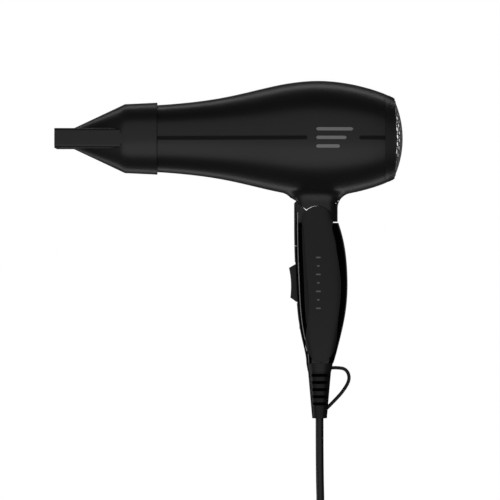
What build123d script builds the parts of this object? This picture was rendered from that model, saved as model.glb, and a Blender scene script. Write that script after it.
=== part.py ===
"""Folding travel hair dryer: barrel, concentrator nozzle, folding grip, cord and plug.

Millimetres, +Z up. +X runs along the barrel towards the air intake, the nozzle blows
towards -X, and the origin is in the middle of the grip, straight below the fold pivot.
"""
import os
from math import copysign, cos, pi, sin, sqrt, tan, radians

from build123d import *

# ---------------------------------------------------------------- driving dimensions
PIVOT_Z = 50.0            # fold pivot above the middle of the grip
AXIS_RISE = 60.7          # barrel axis above the fold pivot
AXIS_Z = PIVOT_Z + AXIS_RISE
OVAL_POWER = 3.0          # how boxy the grip and neck sections are

BARREL_RADIUS = 42.2
BARREL_WALL = 2.2
BARREL_FRONT = -116.5
BARREL_REAR = 48.9
NOSE_RADIUS = 24.5
REAR_SEAM_RADIUS = 32.9
NECK_FRONT = -17.0
NECK_REAR = 14.9
NECK_HALF_WIDTH = 14.5
NECK_FILLET = 11.0

GRIP_LENGTH = 103.2       # pivot to the bottom of the grip shells
GRIP_HALF_WIDTH = 14.7
GRIP_SEAM_DROP = 17.5     # front seam between knuckle and front shell
PANEL_THICKNESS = 1.4
SPLIT_X = 3.0             # front and rear shells meet under the side panels
SHELL_WALL = 1.7
DISC_RADIUS = 11.4
GAP = 0.3                 # running clearance
SEAM = 0.15               # gap between fixed trim and its pocket
FOLD_CLEARANCE = 0.5

PIN_RADIUS = 2.5
PIN_HALF_LENGTH = 11.2
BUSH_WALL = 1.0
BUSH_FIT = 0.1            # between the bushes and the bore they sit in
BOSS_RADIUS = 7.0
BOSS_HALF_WIDTH = 8.0
CREST_STEPS = [(21.6, 7.0), (19.0, 9.4), (16.0, 11.2)]   # radius and half width
CREST_START = 135.0       # degrees round the pivot, from the rear
SWING_START = 44.0        # the neck is cleared from here to the front

FAN_RADIUS = 33.4
FAN_FRONT = 9.0
FAN_REAR = 23.0
FAN_HUB_RADIUS = 12.0
BLADE_COUNT = 9
BLADE_THICKNESS = 1.3
DUCT_WALL = 1.4
DUCT_FRONT = -22.0
DUCT_REAR = 28.0
MOTOR_RADIUS = 11.5
MOTOR_FRONT = -31.0
MOTOR_REAR = 5.0
SHAFT_RADIUS = 1.15
VANE_COUNT = 7

NOSE_RING_DEPTH = 9.5     # spigot that the nozzle turns on
SLEEVE_RADIUS = 20.0
SLEEVE_WALL = 0.8
SLEEVE_REAR = -42.0
COIL_RADIUS = 14.2
COIL_SECTION = 2.0

NOZZLE_TIP = -191.0
NOZZLE_STRAIGHT = -178.7  # where the cone meets the tip block
NOZZLE_SHOULDER = -140.4
NOZZLE_RADIUS = 26.3
NOZZLE_SHOULDER_RADIUS = 25.2
NOZZLE_WALL = 2.0
DUCT_TIP_HALF_HEIGHT = 7.2
DUCT_TIP_HALF_WIDTH = 27.0
DUCT_BACK_HALF_WIDTH = 23.6

RIM_X = 56.4
RIM_RADIUS = 29.4
DOME_HEIGHT = 6.0
GRILLE_PITCH = 5.4
GRILLE_RIB = 0.8

ROCKER_HALF_WIDTH = 5.6
ROCKER_PIVOT_DROP = 44.5
ROCKER_PIVOT_X = -12.4
SELECTOR_DROP = 74.5
SELECTOR_RADIUS = 3.6

CORD_DIAMETER = 5.8
CORD_RADIUS = CORD_DIAMETER / 2
CORD_X = 1.7
COLLAR_TOP_RADIUS = 9.7
COLLAR_END_RADIUS = 8.6
COLLAR_HEIGHT = 6.0
BOOT_TOP_RADIUS = 8.4
BOOT_END_RADIUS = 5.4
BOOT_LENGTH = 34.1
BOOT_SLOTS = 5
LOOP_RADIUS = 1.1

FLOOR_Z = -213.0
COIL_MEAN_RADIUS = 32.0
COIL_SIDE = 17.4
TIE_THICKNESS = 1.2
PLUG_PIN_DIAMETER = 4.8
PLUG_PIN_LENGTH = 19.0
PLUG_PIN_SPACING = 19.0

# ---------------------------------------------------------------- places worked out from them
BARREL_AXIS = Axis((0, 0, AXIS_Z), (1, 0, 0))
GRIP_BOTTOM = PIVOT_Z - GRIP_LENGTH
COLLAR_BOTTOM = GRIP_BOTTOM - COLLAR_HEIGHT - SEAM
BOOT_BOTTOM = COLLAR_BOTTOM - BOOT_LENGTH
DUCT_RADIUS = FAN_RADIUS + 0.8 + DUCT_WALL
CREST_SWING = CREST_STEPS[0][0] + FOLD_CLEARANCE

# Barrel outline between its ends: share of its length, share of its largest radius
BARREL_SHARES = [
    (0.1445, 0.628),
    (0.2769, 0.7014),
    (0.4093, 0.8128),
    (0.5417, 0.9313),
    (0.7007, 1.0),
    (0.8597, 0.9384),
]
BARREL_OUTLINE = [
    (BARREL_FRONT, NOSE_RADIUS),
    *[
        (BARREL_FRONT + along * (BARREL_REAR - BARREL_FRONT), share * BARREL_RADIUS)
        for along, share in BARREL_SHARES
    ],
    (BARREL_REAR, REAR_SEAM_RADIUS),
]

# Grip sections: share of the grip's length below the pivot, front, rear, share of the width
GRIP_STATIONS = [
    (-0.2, -16.9, 14.9, 0.985),
    (0.01, -16.9, 15.6, 0.99),
    (0.14, -16.8, 19.3, 1.0),
    (0.33, -16.2, 21.75, 1.01),
    (0.55, -15.1, 21.7, 0.98),
    (0.73, -13.2, 19.0, 0.91),
    (0.87, -10.2, 15.6, 0.81),
    (1.0, -8.0, 11.8, 0.67),
]

os.makedirs("parts", exist_ok=True)


# ---------------------------------------------------------------- helpers
def oval_points(front, rear, half_width, count=20):
    """Points round a boxy oval, as (along, across) pairs."""
    centre = (front + rear) / 2
    reach = (rear - front) / 2
    points = []
    for step in range(count):
        angle = 2 * pi * step / count
        along = copysign(abs(cos(angle)) ** (2 / OVAL_POWER), cos(angle))
        across = copysign(abs(sin(angle)) ** (2 / OVAL_POWER), sin(angle))
        points.append((centre + reach * along, half_width * across))
    return points


def oval_face(plane, points):
    """A closed smooth face through the points, drawn on a plane."""
    with BuildSketch(plane, mode=Mode.PRIVATE) as sketch:
        with BuildLine():
            Spline(*points, periodic=True)
        make_face()
    return sketch.sketch


def grip_body(inset):
    """The grip's outer shape pulled in by inset, from above the pivot to its bottom."""
    sections = []
    for share, front, rear, width in GRIP_STATIONS:
        plane = Plane.XY.offset(PIVOT_Z - share * GRIP_LENGTH)
        points = oval_points(front + inset, rear - inset, width * GRIP_HALF_WIDTH - inset)
        sections.append(oval_face(plane, points))
    with BuildPart(mode=Mode.PRIVATE) as body:
        loft(sections=sections)
    return body.part


def barrel_body(inset):
    """The barrel's body of revolution pulled in by inset."""
    with BuildPart(mode=Mode.PRIVATE) as body:
        with BuildSketch(Plane.XZ):
            with BuildLine():
                outline = Spline(*[(x, AXIS_Z + radius - inset) for x, radius in BARREL_OUTLINE])
                Polyline(outline @ 1, (BARREL_REAR, AXIS_Z), (BARREL_FRONT, AXIS_Z), outline @ 0)
            make_face()
        revolve(axis=BARREL_AXIS)
    return body.part


def ring_about_barrel(front, rear, outer, inner):
    """A plain tube about the barrel's axis."""
    with BuildPart(mode=Mode.PRIVATE) as ring:
        with BuildSketch(Plane.YZ.offset(front)):
            with Locations((0, AXIS_Z)):
                Circle(outer)
                Circle(inner, mode=Mode.SUBTRACT)
        extrude(amount=rear - front)
    return ring.part


def block(x_range, y_range, z_range):
    """A box between two values on each axis."""
    with BuildPart(mode=Mode.PRIVATE) as made:
        with BuildSketch(Plane.XY.offset(z_range[0])):
            with Locations(((x_range[0] + x_range[1]) / 2, (y_range[0] + y_range[1]) / 2)):
                Rectangle(x_range[1] - x_range[0], y_range[1] - y_range[0])
        extrude(amount=z_range[1] - z_range[0])
    return made.part


def cylinder_y(radius, low, high, x, z):
    """A cylinder along Y between two values."""
    with BuildPart(mode=Mode.PRIVATE) as made:
        with BuildSketch(Plane.XZ.offset(-high)):
            with Locations((x, z)):
                Circle(radius)
        extrude(amount=high - low)
    return made.part


def save(part, name):
    """Label a finished piece and write it to its own file."""
    part.label = name
    export_step(part, "parts/" + name + ".step")


# ---------------------------------------------------------------- shared shapes
grip_outer = grip_body(0)
grip_pocket = grip_body(PANEL_THICKNESS + SEAM)
grip_inner = grip_body(PANEL_THICKNESS + SEAM + SHELL_WALL)

# Leaf of a side panel below the pivot's disc: place, share of the grip's length down from it
PANEL_LEAF = [
    (-10.2, 0.0484),
    (-8.6, 0.3101),
    (-6.9, 0.6783),
    (-4.4, 0.9593),
    (2.2, 0.9903),
    (8.6, 0.9641),
    (14.6, 0.7461),
    (17.2, 0.4709),
    (14.6, 0.2452),
    (10.6, 0.0407),
]
LEAF_TIP_SHARE = 0.9      # the gap round the leaf also runs under it from here down


def panel_outline(grow):
    """The side panel's outline as a plate through the whole grip, grown by a gap."""
    side = [
        (
            x + copysign(grow, x - SPLIT_X),
            PIVOT_Z - share * GRIP_LENGTH - (grow if share > LEAF_TIP_SHARE else 0),
        )
        for x, share in PANEL_LEAF
    ]
    with BuildPart(mode=Mode.PRIVATE) as plate:
        with BuildSketch(Plane.XZ.offset(-GRIP_HALF_WIDTH - 5)):
            with BuildLine():
                leaf = Spline(*side)
                Line(leaf @ 1, leaf @ 0)
            make_face()
            with Locations((0, PIVOT_Z)):
                Circle(DISC_RADIUS + grow)
        extrude(amount=2 * GRIP_HALF_WIDTH + 10)
    return plate.part


def sector(start, stop, radius, half_width):
    """A wedge about the pivot between two angles counted from the rear, upwards."""
    middle = radians((start + stop) / 2)
    reach = radius / cos(radians((stop - start) / 2))
    first = (radius * cos(radians(start)), PIVOT_Z + radius * sin(radians(start)))
    last = (radius * cos(radians(stop)), PIVOT_Z + radius * sin(radians(stop)))
    with BuildPart(mode=Mode.PRIVATE) as wedge:
        with BuildSketch(Plane.XZ.offset(-half_width)):
            with BuildLine():
                ThreePointArc(
                    first,
                    (radius * cos(middle), PIVOT_Z + radius * sin(middle)),
                    last,
                )
                Polyline(last, (0, PIVOT_Z), first)
            make_face()
        extrude(amount=2 * half_width)
    return wedge.part


def folded_grip_tunnel():
    """The space that the grip fills when it is folded under the barrel."""
    across = [
        (side, PIVOT_Z - along)
        for along, side in oval_points(
            GRIP_STATIONS[1][1] - FOLD_CLEARANCE,
            GRIP_STATIONS[3][2] + FOLD_CLEARANCE,
            GRIP_HALF_WIDTH + FOLD_CLEARANCE,
        )
    ]
    with BuildPart(mode=Mode.PRIVATE) as tunnel:
        extrude(oval_face(Plane.YZ, across), amount=3 * BARREL_RADIUS, dir=(-1, 0, 0))
    return tunnel.part


# ---------------------------------------------------------------- barrel shells and neck
NECK_SINK = 9.0           # the neck's solid runs this far into the barrel before hollowing
NECK_TOP = AXIS_Z - BARREL_RADIUS + NECK_SINK
SWING_STOP = 200.0        # degrees round the pivot, beyond the folded crest
WELL_FRONT = 2.0          # wiring well between the swing and the neck's rear wall
WELL_REAR = 12.0
WELL_HALF_WIDTH = 5.5
THROUGH = 20.0            # half length of cuts that run right through the neck

with BuildPart() as barrel_solid:
    add(barrel_body(0))
    add(oval_face(Plane.XY.offset(PIVOT_Z), oval_points(NECK_FRONT, NECK_REAR, NECK_HALF_WIDTH)))
    extrude(amount=NECK_TOP - PIVOT_Z)
    root = [
        edge
        for edge in barrel_solid.edges().filter_by(GeomType.BSPLINE)
        if edge.length > 3 * NECK_HALF_WIDTH and edge.bounding_box().max.Z < AXIS_Z - 20
    ]
    root = [edge for edge in root if edge.bounding_box().min.Z > PIVOT_Z + 5]
    fillet(root, NECK_FILLET)
    # hollow barrel, then the grip's swing inside the neck
    add(barrel_body(BARREL_WALL), mode=Mode.SUBTRACT)
    for radius, half_width in CREST_STEPS:
        swing = sector(SWING_START, SWING_STOP, radius + FOLD_CLEARANCE, half_width + GAP)
        add(swing, mode=Mode.SUBTRACT)
    for low, high in ((BOSS_HALF_WIDTH + GAP, THROUGH), (-THROUGH, -BOSS_HALF_WIDTH - GAP)):
        add(cylinder_y(DISC_RADIUS + GAP, low, high, 0, PIVOT_Z), mode=Mode.SUBTRACT)
    add(folded_grip_tunnel(), mode=Mode.SUBTRACT)
    # wiring well from the neck into the barrel, behind the swing
    add(block(
        (WELL_FRONT, WELL_REAR),
        (-WELL_HALF_WIDTH, WELL_HALF_WIDTH),
        (PIVOT_Z + CREST_STEPS[1][0], NECK_TOP + WELL_REAR),
    ), mode=Mode.SUBTRACT)
    # hinge boss and its web to the rear wall
    add(cylinder_y(BOSS_RADIUS, -BOSS_HALF_WIDTH, BOSS_HALF_WIDTH, 0, PIVOT_Z))
    bush_hole = cylinder_y(PIN_RADIUS + BUSH_WALL + BUSH_FIT, -THROUGH, THROUGH, 0, PIVOT_Z)
    add(bush_hole, mode=Mode.SUBTRACT)


# Grooved inlay strips along both sides of the barrel, at the height of its axis
STRIPE_HEIGHT = 2.5
STRIPE_GROOVE = 0.4
STRIPE_DEPTH = 0.8
STRIPE_BREAK = (-7.9, 30.2)
STRIPE_SPANS = [(BARREL_FRONT - 1, STRIPE_BREAK[0]), (STRIPE_BREAK[1], BARREL_REAR + 1)]


def stripe_band(span, half_height, end_gap, side):
    """A rounded bar on one side of the barrel, to cut a pocket or keep an inlay."""
    low, high = span
    with BuildPart(mode=Mode.PRIVATE) as band:
        with BuildSketch(Plane.XZ.offset(0 if side < 0 else -BARREL_RADIUS - 2)):
            with Locations(((low + high) / 2, AXIS_Z)):
                SlotOverall(high - low + 2 * end_gap, 2 * half_height)
        extrude(amount=BARREL_RADIUS + 2)
    return band.part


SCREW_PLACES = [(-60.0, 26.6), (36.0, 31.4), (-60.0, -26.6), (36.0, -31.4)]
SCREW_RADIUS = 1.3
SCREW_HEAD_RADIUS = 2.6
POST_RADIUS = 3.6
SCREW_SEAT = 9.0          # screw heads sit this far from the split
SCREW_HEAD_HEIGHT = 1.7
SCREW_BITE = 5.0          # length of screw in the far shell's post
POST_FLOOR = 2.5

with BuildPart() as barrel_left:
    add(barrel_solid.part)
    with BuildSketch(Plane.XZ):
        with Locations(*[(x, AXIS_Z + rise) for x, rise in SCREW_PLACES]):
            Circle(POST_RADIUS)
    extrude(amount=SCREW_SEAT)
    with BuildSketch(Plane.XZ):
        with Locations(*[(x, AXIS_Z + rise) for x, rise in SCREW_PLACES]):
            Circle(SCREW_RADIUS)
    extrude(amount=SCREW_SEAT - POST_FLOOR, mode=Mode.SUBTRACT)
    for span in STRIPE_SPANS:
        pocket = stripe_band(span, STRIPE_HEIGHT / 2 + STRIPE_GROOVE, STRIPE_GROOVE, -1)
        pocket = pocket - barrel_body(STRIPE_DEPTH)
        add(pocket, mode=Mode.SUBTRACT)
    split(bisect_by=Plane.XZ, keep=Keep.TOP)
barrel_left_half = barrel_left.part

with BuildPart() as barrel_right:
    add(barrel_solid.part)
    with BuildSketch(Plane.XZ.offset(-SCREW_SEAT - 2)):
        with Locations(*[(x, AXIS_Z + rise) for x, rise in SCREW_PLACES]):
            Circle(POST_RADIUS)
    extrude(amount=SCREW_SEAT + 2)
    with BuildSketch(Plane.XZ.offset(-BARREL_RADIUS)):
        with Locations(*[(x, AXIS_Z + rise) for x, rise in SCREW_PLACES]):
            Circle(SCREW_RADIUS + 0.2)
    extrude(amount=BARREL_RADIUS, mode=Mode.SUBTRACT)
    with BuildSketch(Plane.XZ.offset(-BARREL_RADIUS)):
        with Locations(*[(x, AXIS_Z + rise) for x, rise in SCREW_PLACES]):
            Circle(SCREW_HEAD_RADIUS + 0.3)
    extrude(amount=BARREL_RADIUS - SCREW_SEAT, mode=Mode.SUBTRACT)
    for span in STRIPE_SPANS:
        pocket = stripe_band(span, STRIPE_HEIGHT / 2 + STRIPE_GROOVE, STRIPE_GROOVE, 1)
        pocket = pocket - barrel_body(STRIPE_DEPTH)
        add(pocket, mode=Mode.SUBTRACT)
    split(bisect_by=Plane.XZ, keep=Keep.BOTTOM)
barrel_right_half = barrel_right.part
save(barrel_left_half, "barrel_shell_left")
save(barrel_right_half, "barrel_shell_right")

with BuildPart() as barrel_screws:
    with BuildSketch(Plane.XZ.offset(-SCREW_SEAT - SCREW_HEAD_HEIGHT - 0.1)):
        with Locations(*[(x, AXIS_Z + rise) for x, rise in SCREW_PLACES]):
            Circle(SCREW_HEAD_RADIUS)
    extrude(amount=SCREW_HEAD_HEIGHT)
    with BuildSketch(Plane.XZ.offset(-SCREW_SEAT - 0.2)):
        with Locations(*[(x, AXIS_Z + rise) for x, rise in SCREW_PLACES]):
            Circle(SCREW_RADIUS - 0.1)
    extrude(amount=SCREW_SEAT + SCREW_BITE)
save(barrel_screws.part, "barrel_screws")

with BuildPart() as side_stripes:
    for side in (-1, 1):
        for low, high in STRIPE_SPANS:
            bar = stripe_band((low, high), STRIPE_HEIGHT / 2, 0, side)
            bar = bar & (barrel_body(0.1) - barrel_body(STRIPE_DEPTH - 0.05))
            add(bar)
save(side_stripes.part, "side_stripes")

# ---------------------------------------------------------------- heater and nose
NOSE_RING_RADIUS = NOSE_RADIUS - BARREL_WALL - 0.2
NOSE_RING_FRONT = BARREL_FRONT - NOSE_RING_DEPTH
NOSE_RING_REAR = BARREL_FRONT + 8.0
NOSE_RING_WALL = 1.6
NOSE_GRID_RADII = (6.0, 12.0)
NOSE_GRID_WIRE = 1.2
NOSE_GRID_DEPTH = 2.0

with BuildPart() as outlet_grille:
    add(ring_about_barrel(
        NOSE_RING_FRONT, NOSE_RING_REAR, NOSE_RING_RADIUS, NOSE_RING_RADIUS - NOSE_RING_WALL
    ))
    with BuildSketch(Plane.YZ.offset(BARREL_FRONT - NOSE_GRID_DEPTH)):
        with Locations((0, AXIS_Z)):
            for radius in NOSE_GRID_RADII:
                Circle(radius + NOSE_GRID_WIRE / 2)
                Circle(radius - NOSE_GRID_WIRE / 2, mode=Mode.SUBTRACT)
            for turn in range(3):
                Rectangle(2 * NOSE_RING_RADIUS - 1, NOSE_GRID_WIRE, rotation=60 * turn)
    extrude(amount=NOSE_GRID_DEPTH)
save(outlet_grille.part, "outlet_grille")

SLEEVE_FRONT = NOSE_RING_REAR + GAP
BOARD_HALF_HEIGHT = SLEEVE_RADIUS - SLEEVE_WALL - 0.2
COIL_STEP = 12.0
COIL_PLACES = [SLEEVE_FRONT + COIL_STEP * (row + 1) for row in range(4)]
BOARD_THICKNESS = 1.0
BOARD_END_GAP = 2.0
THERMOSTAT_RADIUS = 3.4
THERMOSTAT_RISE = 5.2
THERMOSTAT_HEIGHT = 4.0
FUSE_RADIUS = 1.7
FUSE_DROP = 3.6
FUSE_LENGTH = 10.0

save(
    ring_about_barrel(SLEEVE_FRONT, SLEEVE_REAR, SLEEVE_RADIUS, SLEEVE_RADIUS - SLEEVE_WALL),
    "mica_sleeve",
)

with BuildPart() as heater_coils:
    for place in COIL_PLACES:
        with BuildSketch(Plane.XZ):
            with Locations((place, AXIS_Z + COIL_RADIUS)):
                Circle(COIL_SECTION)
        revolve(axis=BARREL_AXIS)
save(heater_coils.part, "heater_coils")

with BuildPart() as mica_boards:
    for turn in (45, 135):
        with BuildSketch(Plane.YZ.offset(SLEEVE_FRONT + BOARD_END_GAP)):
            with Locations((0, AXIS_Z)):
                Rectangle(2 * BOARD_HALF_HEIGHT, BOARD_THICKNESS, rotation=turn)
        extrude(amount=SLEEVE_REAR - SLEEVE_FRONT - 2 * BOARD_END_GAP)
    for place in COIL_PLACES:
        with BuildSketch(Plane.XZ):
            with Locations((place, AXIS_Z + COIL_RADIUS)):
                Circle(COIL_SECTION + GAP)
        revolve(axis=BARREL_AXIS, mode=Mode.SUBTRACT)
save(mica_boards.part, "mica_boards")

with BuildPart() as thermostat:
    with BuildSketch(Plane.XY.offset(AXIS_Z + THERMOSTAT_RISE)):
        with Locations((SLEEVE_REAR - 2 * THERMOSTAT_RADIUS, 0)):
            Circle(THERMOSTAT_RADIUS)
    extrude(amount=THERMOSTAT_HEIGHT)
save(thermostat.part, "thermostat")

with BuildPart() as thermal_fuse:
    with BuildSketch(Plane.YZ.offset(SLEEVE_REAR - 1.6 * FUSE_LENGTH)):
        with Locations((0, AXIS_Z - FUSE_DROP)):
            Circle(FUSE_RADIUS)
    extrude(amount=FUSE_LENGTH)
save(thermal_fuse.part, "thermal_fuse")

# ---------------------------------------------------------------- fan duct, motor and fan
with BuildPart() as air_guide:
    with BuildSketch(Plane.XZ):
        with BuildLine():
            inner_end = SLEEVE_RADIUS + 0.2
            Polyline(
                (SLEEVE_REAR - 3, AXIS_Z + inner_end),
                (SLEEVE_REAR, AXIS_Z + inner_end),
                (DUCT_FRONT - GAP, AXIS_Z + DUCT_RADIUS - DUCT_WALL),
                (DUCT_FRONT - GAP, AXIS_Z + DUCT_RADIUS),
                (SLEEVE_REAR, AXIS_Z + inner_end + DUCT_WALL),
                (SLEEVE_REAR - 3, AXIS_Z + inner_end + DUCT_WALL),
                close=True,
            )
        make_face()
    revolve(axis=BARREL_AXIS)
save(air_guide.part, "air_guide")

MOTOR_CUP_RADIUS = MOTOR_RADIUS + 1.4
FLANGE_X = -2.0
FLANGE_CLEAR = AXIS_RISE - CREST_SWING - 1.5
with BuildPart() as fan_duct:
    add(ring_about_barrel(DUCT_FRONT, DUCT_REAR, DUCT_RADIUS, DUCT_RADIUS - DUCT_WALL))
    with BuildSketch(Plane.YZ.offset(FLANGE_X)):
        with Locations((0, AXIS_Z)):
            Circle(BARREL_RADIUS - BARREL_WALL - GAP)
            Circle(DUCT_RADIUS - 0.5, mode=Mode.SUBTRACT)
        with Locations((0, AXIS_Z - FLANGE_CLEAR - 20)):
            Rectangle(100, 40, mode=Mode.SUBTRACT)
    extrude(amount=2.0)
    with BuildSketch(Plane.YZ.offset(MOTOR_FRONT + 10)):
        with Locations((0, AXIS_Z)):
            Circle(MOTOR_CUP_RADIUS)
            Circle(MOTOR_RADIUS + 0.05, mode=Mode.SUBTRACT)
    extrude(amount=MOTOR_REAR - MOTOR_FRONT - 12)
    with BuildSketch(Plane.YZ.offset(DUCT_FRONT + 4)):
        with Locations((0, AXIS_Z)):
            with PolarLocations((MOTOR_CUP_RADIUS + DUCT_RADIUS) / 2 - 0.2, VANE_COUNT):
                Rectangle(DUCT_RADIUS - MOTOR_CUP_RADIUS - 0.2, 1.3)
    extrude(amount=20.0)
save(fan_duct.part, "fan_duct")

with BuildPart() as motor_can:
    add(ring_about_barrel(MOTOR_FRONT, MOTOR_REAR, MOTOR_RADIUS, MOTOR_RADIUS - 1.0))
    add(ring_about_barrel(MOTOR_REAR - 1.2, MOTOR_REAR, MOTOR_RADIUS, SHAFT_RADIUS + 0.25))
save(motor_can.part, "motor_can")
save(
    ring_about_barrel(MOTOR_FRONT + 0.2, MOTOR_FRONT + 3, MOTOR_RADIUS - 1.0, SHAFT_RADIUS + 0.25),
    "motor_end_cap",
)
save(
    ring_about_barrel(MOTOR_FRONT + 6, MOTOR_REAR - 5, MOTOR_RADIUS - 1.0, MOTOR_RADIUS - 3.4),
    "motor_magnets",
)

with BuildPart() as rectifier_board:
    with BuildSketch(Plane.YZ.offset(MOTOR_FRONT - 2.0)):
        with Locations((0, AXIS_Z)):
            Circle(MOTOR_RADIUS)
            Circle(2.2, mode=Mode.SUBTRACT)
    extrude(amount=1.6)
save(rectifier_board.part, "rectifier_board")
with BuildPart() as diodes:
    for height in (-6.0, -3.4, 3.4, 6.0):
        with BuildSketch(Plane.XZ.offset(-3)):
            with Locations((MOTOR_FRONT - 2.0 - 1.35, AXIS_Z + height)):
                Circle(1.2)
        extrude(amount=6.0)
save(diodes.part, "diodes")

SHAFT_FRONT = MOTOR_FRONT - 0.8
with BuildPart() as motor_shaft:
    with BuildSketch(Plane.YZ.offset(SHAFT_FRONT)):
        with Locations((0, AXIS_Z)):
            Circle(SHAFT_RADIUS)
    extrude(amount=FAN_REAR - SHAFT_FRONT)
    with BuildSketch(Plane.YZ.offset(MOTOR_FRONT + 7)):
        with Locations((0, AXIS_Z)):
            Circle(MOTOR_RADIUS - 3.9)
    extrude(amount=MOTOR_REAR - MOTOR_FRONT - 13)
save(motor_shaft.part, "motor_armature")

with BuildPart() as fan:
    with BuildSketch(Plane.YZ.offset(FAN_FRONT)):
        with Locations((0, AXIS_Z)):
            Circle(FAN_HUB_RADIUS)
            Circle(SHAFT_RADIUS, mode=Mode.SUBTRACT)
    extrude(amount=FAN_REAR - FAN_FRONT - 1)
    blade_reach = FAN_RADIUS - FAN_HUB_RADIUS + 1.0
    for blade in range(BLADE_COUNT):
        spin = Rotation(360 * blade / BLADE_COUNT, 0, 0)
        place = Pos((FAN_FRONT + FAN_REAR) / 2 - 0.5, 0, AXIS_Z) * spin
        vane = place * Pos(0, 0, FAN_HUB_RADIUS - 1 + blade_reach / 2) * Rotation(0, 0, 38)
        add(vane * Box(FAN_REAR - FAN_FRONT - 1, BLADE_THICKNESS, blade_reach, mode=Mode.PRIVATE))
save(fan.part, "fan")

# ---------------------------------------------------------------- rear cover
BARREL_MOUTH = REAR_SEAM_RADIUS - BARREL_WALL
RING_FRONT = BARREL_REAR + GAP
RING_SPIGOT = 6.0         # length of the ring that plugs into the barrel
RING_LIP = 1.3
LIP_DEPTH = 2.5
DOME_EDGE_RADIUS = RIM_RADIUS - RING_LIP - 0.1
with BuildPart() as rear_ring:
    with BuildSketch(Plane.XZ):
        with BuildLine():
            Polyline(
                (RING_FRONT, AXIS_Z + REAR_SEAM_RADIUS - 0.15),
                (RIM_X, AXIS_Z + RIM_RADIUS),
                (RIM_X, AXIS_Z + RIM_RADIUS - RING_LIP),
                (RIM_X - LIP_DEPTH, AXIS_Z + RIM_RADIUS - RING_LIP),
                (RIM_X - LIP_DEPTH, AXIS_Z + RIM_RADIUS - 2 * RING_LIP),
                (BARREL_REAR - RING_SPIGOT, AXIS_Z + RIM_RADIUS - 2 * RING_LIP),
                (BARREL_REAR - RING_SPIGOT, AXIS_Z + BARREL_MOUTH - 0.35),
                (RING_FRONT, AXIS_Z + BARREL_MOUTH - 0.35),
                close=True,
            )
        make_face()
    revolve(axis=BARREL_AXIS)
save(rear_ring.part, "rear_ring")

FILTER_PITCH = 5.0
FILTER_STRAND = 1.2
FILTER_THICKNESS = 0.6
with BuildPart() as dust_filter:
    with BuildSketch(Plane.YZ.offset(RIM_X - LIP_DEPTH + 0.1)):
        with Locations((0, AXIS_Z)):
            Circle(DOME_EDGE_RADIUS)
            with GridLocations(FILTER_PITCH, FILTER_PITCH, 9, 9):
                side = FILTER_PITCH - FILTER_STRAND
                Rectangle(side, side, mode=Mode.SUBTRACT)
    extrude(amount=FILTER_THICKNESS)
save(dust_filter.part, "dust_filter")

DOME_SPHERE = (DOME_EDGE_RADIUS**2 + DOME_HEIGHT**2) / (2 * DOME_HEIGHT)
DOME_THICKNESS = 1.6
GRILLE_BORDER = 4.2       # cells keep this far from the rim
with BuildPart() as intake_grille:
    with BuildSketch(Plane.XZ):
        with BuildLine():
            outer = RadiusArc(
                (RIM_X, AXIS_Z + DOME_EDGE_RADIUS),
                (RIM_X + DOME_HEIGHT, AXIS_Z),
                DOME_SPHERE,
            )
            Polyline(
                outer @ 1,
                (RIM_X + DOME_HEIGHT - DOME_THICKNESS, AXIS_Z),
            )
            inner = RadiusArc(
                (RIM_X + DOME_HEIGHT - DOME_THICKNESS, AXIS_Z),
                (RIM_X - DOME_THICKNESS, AXIS_Z + DOME_EDGE_RADIUS),
                -DOME_SPHERE,
            )
            Line(inner @ 1, outer @ 0)
        make_face()
    revolve(axis=BARREL_AXIS)
    rows = int(RIM_RADIUS / GRILLE_PITCH) + 2
    cells = []
    for row in range(-rows, rows + 1):
        for column in range(-rows, rows + 1):
            across = row * GRILLE_PITCH * sqrt(3) / 2
            up = (column + 0.5 * (row % 2)) * GRILLE_PITCH
            if sqrt(across**2 + up**2) < RIM_RADIUS - GRILLE_BORDER:
                cells.append((across, AXIS_Z + up))
    with BuildSketch(Plane.YZ.offset(RIM_X - 3)):
        with Locations(*cells):
            RegularPolygon((GRILLE_PITCH - GRILLE_RIB) / sqrt(3), 6)
    extrude(amount=DOME_HEIGHT + 5, mode=Mode.SUBTRACT)
save(intake_grille.part, "intake_grille")

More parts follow.
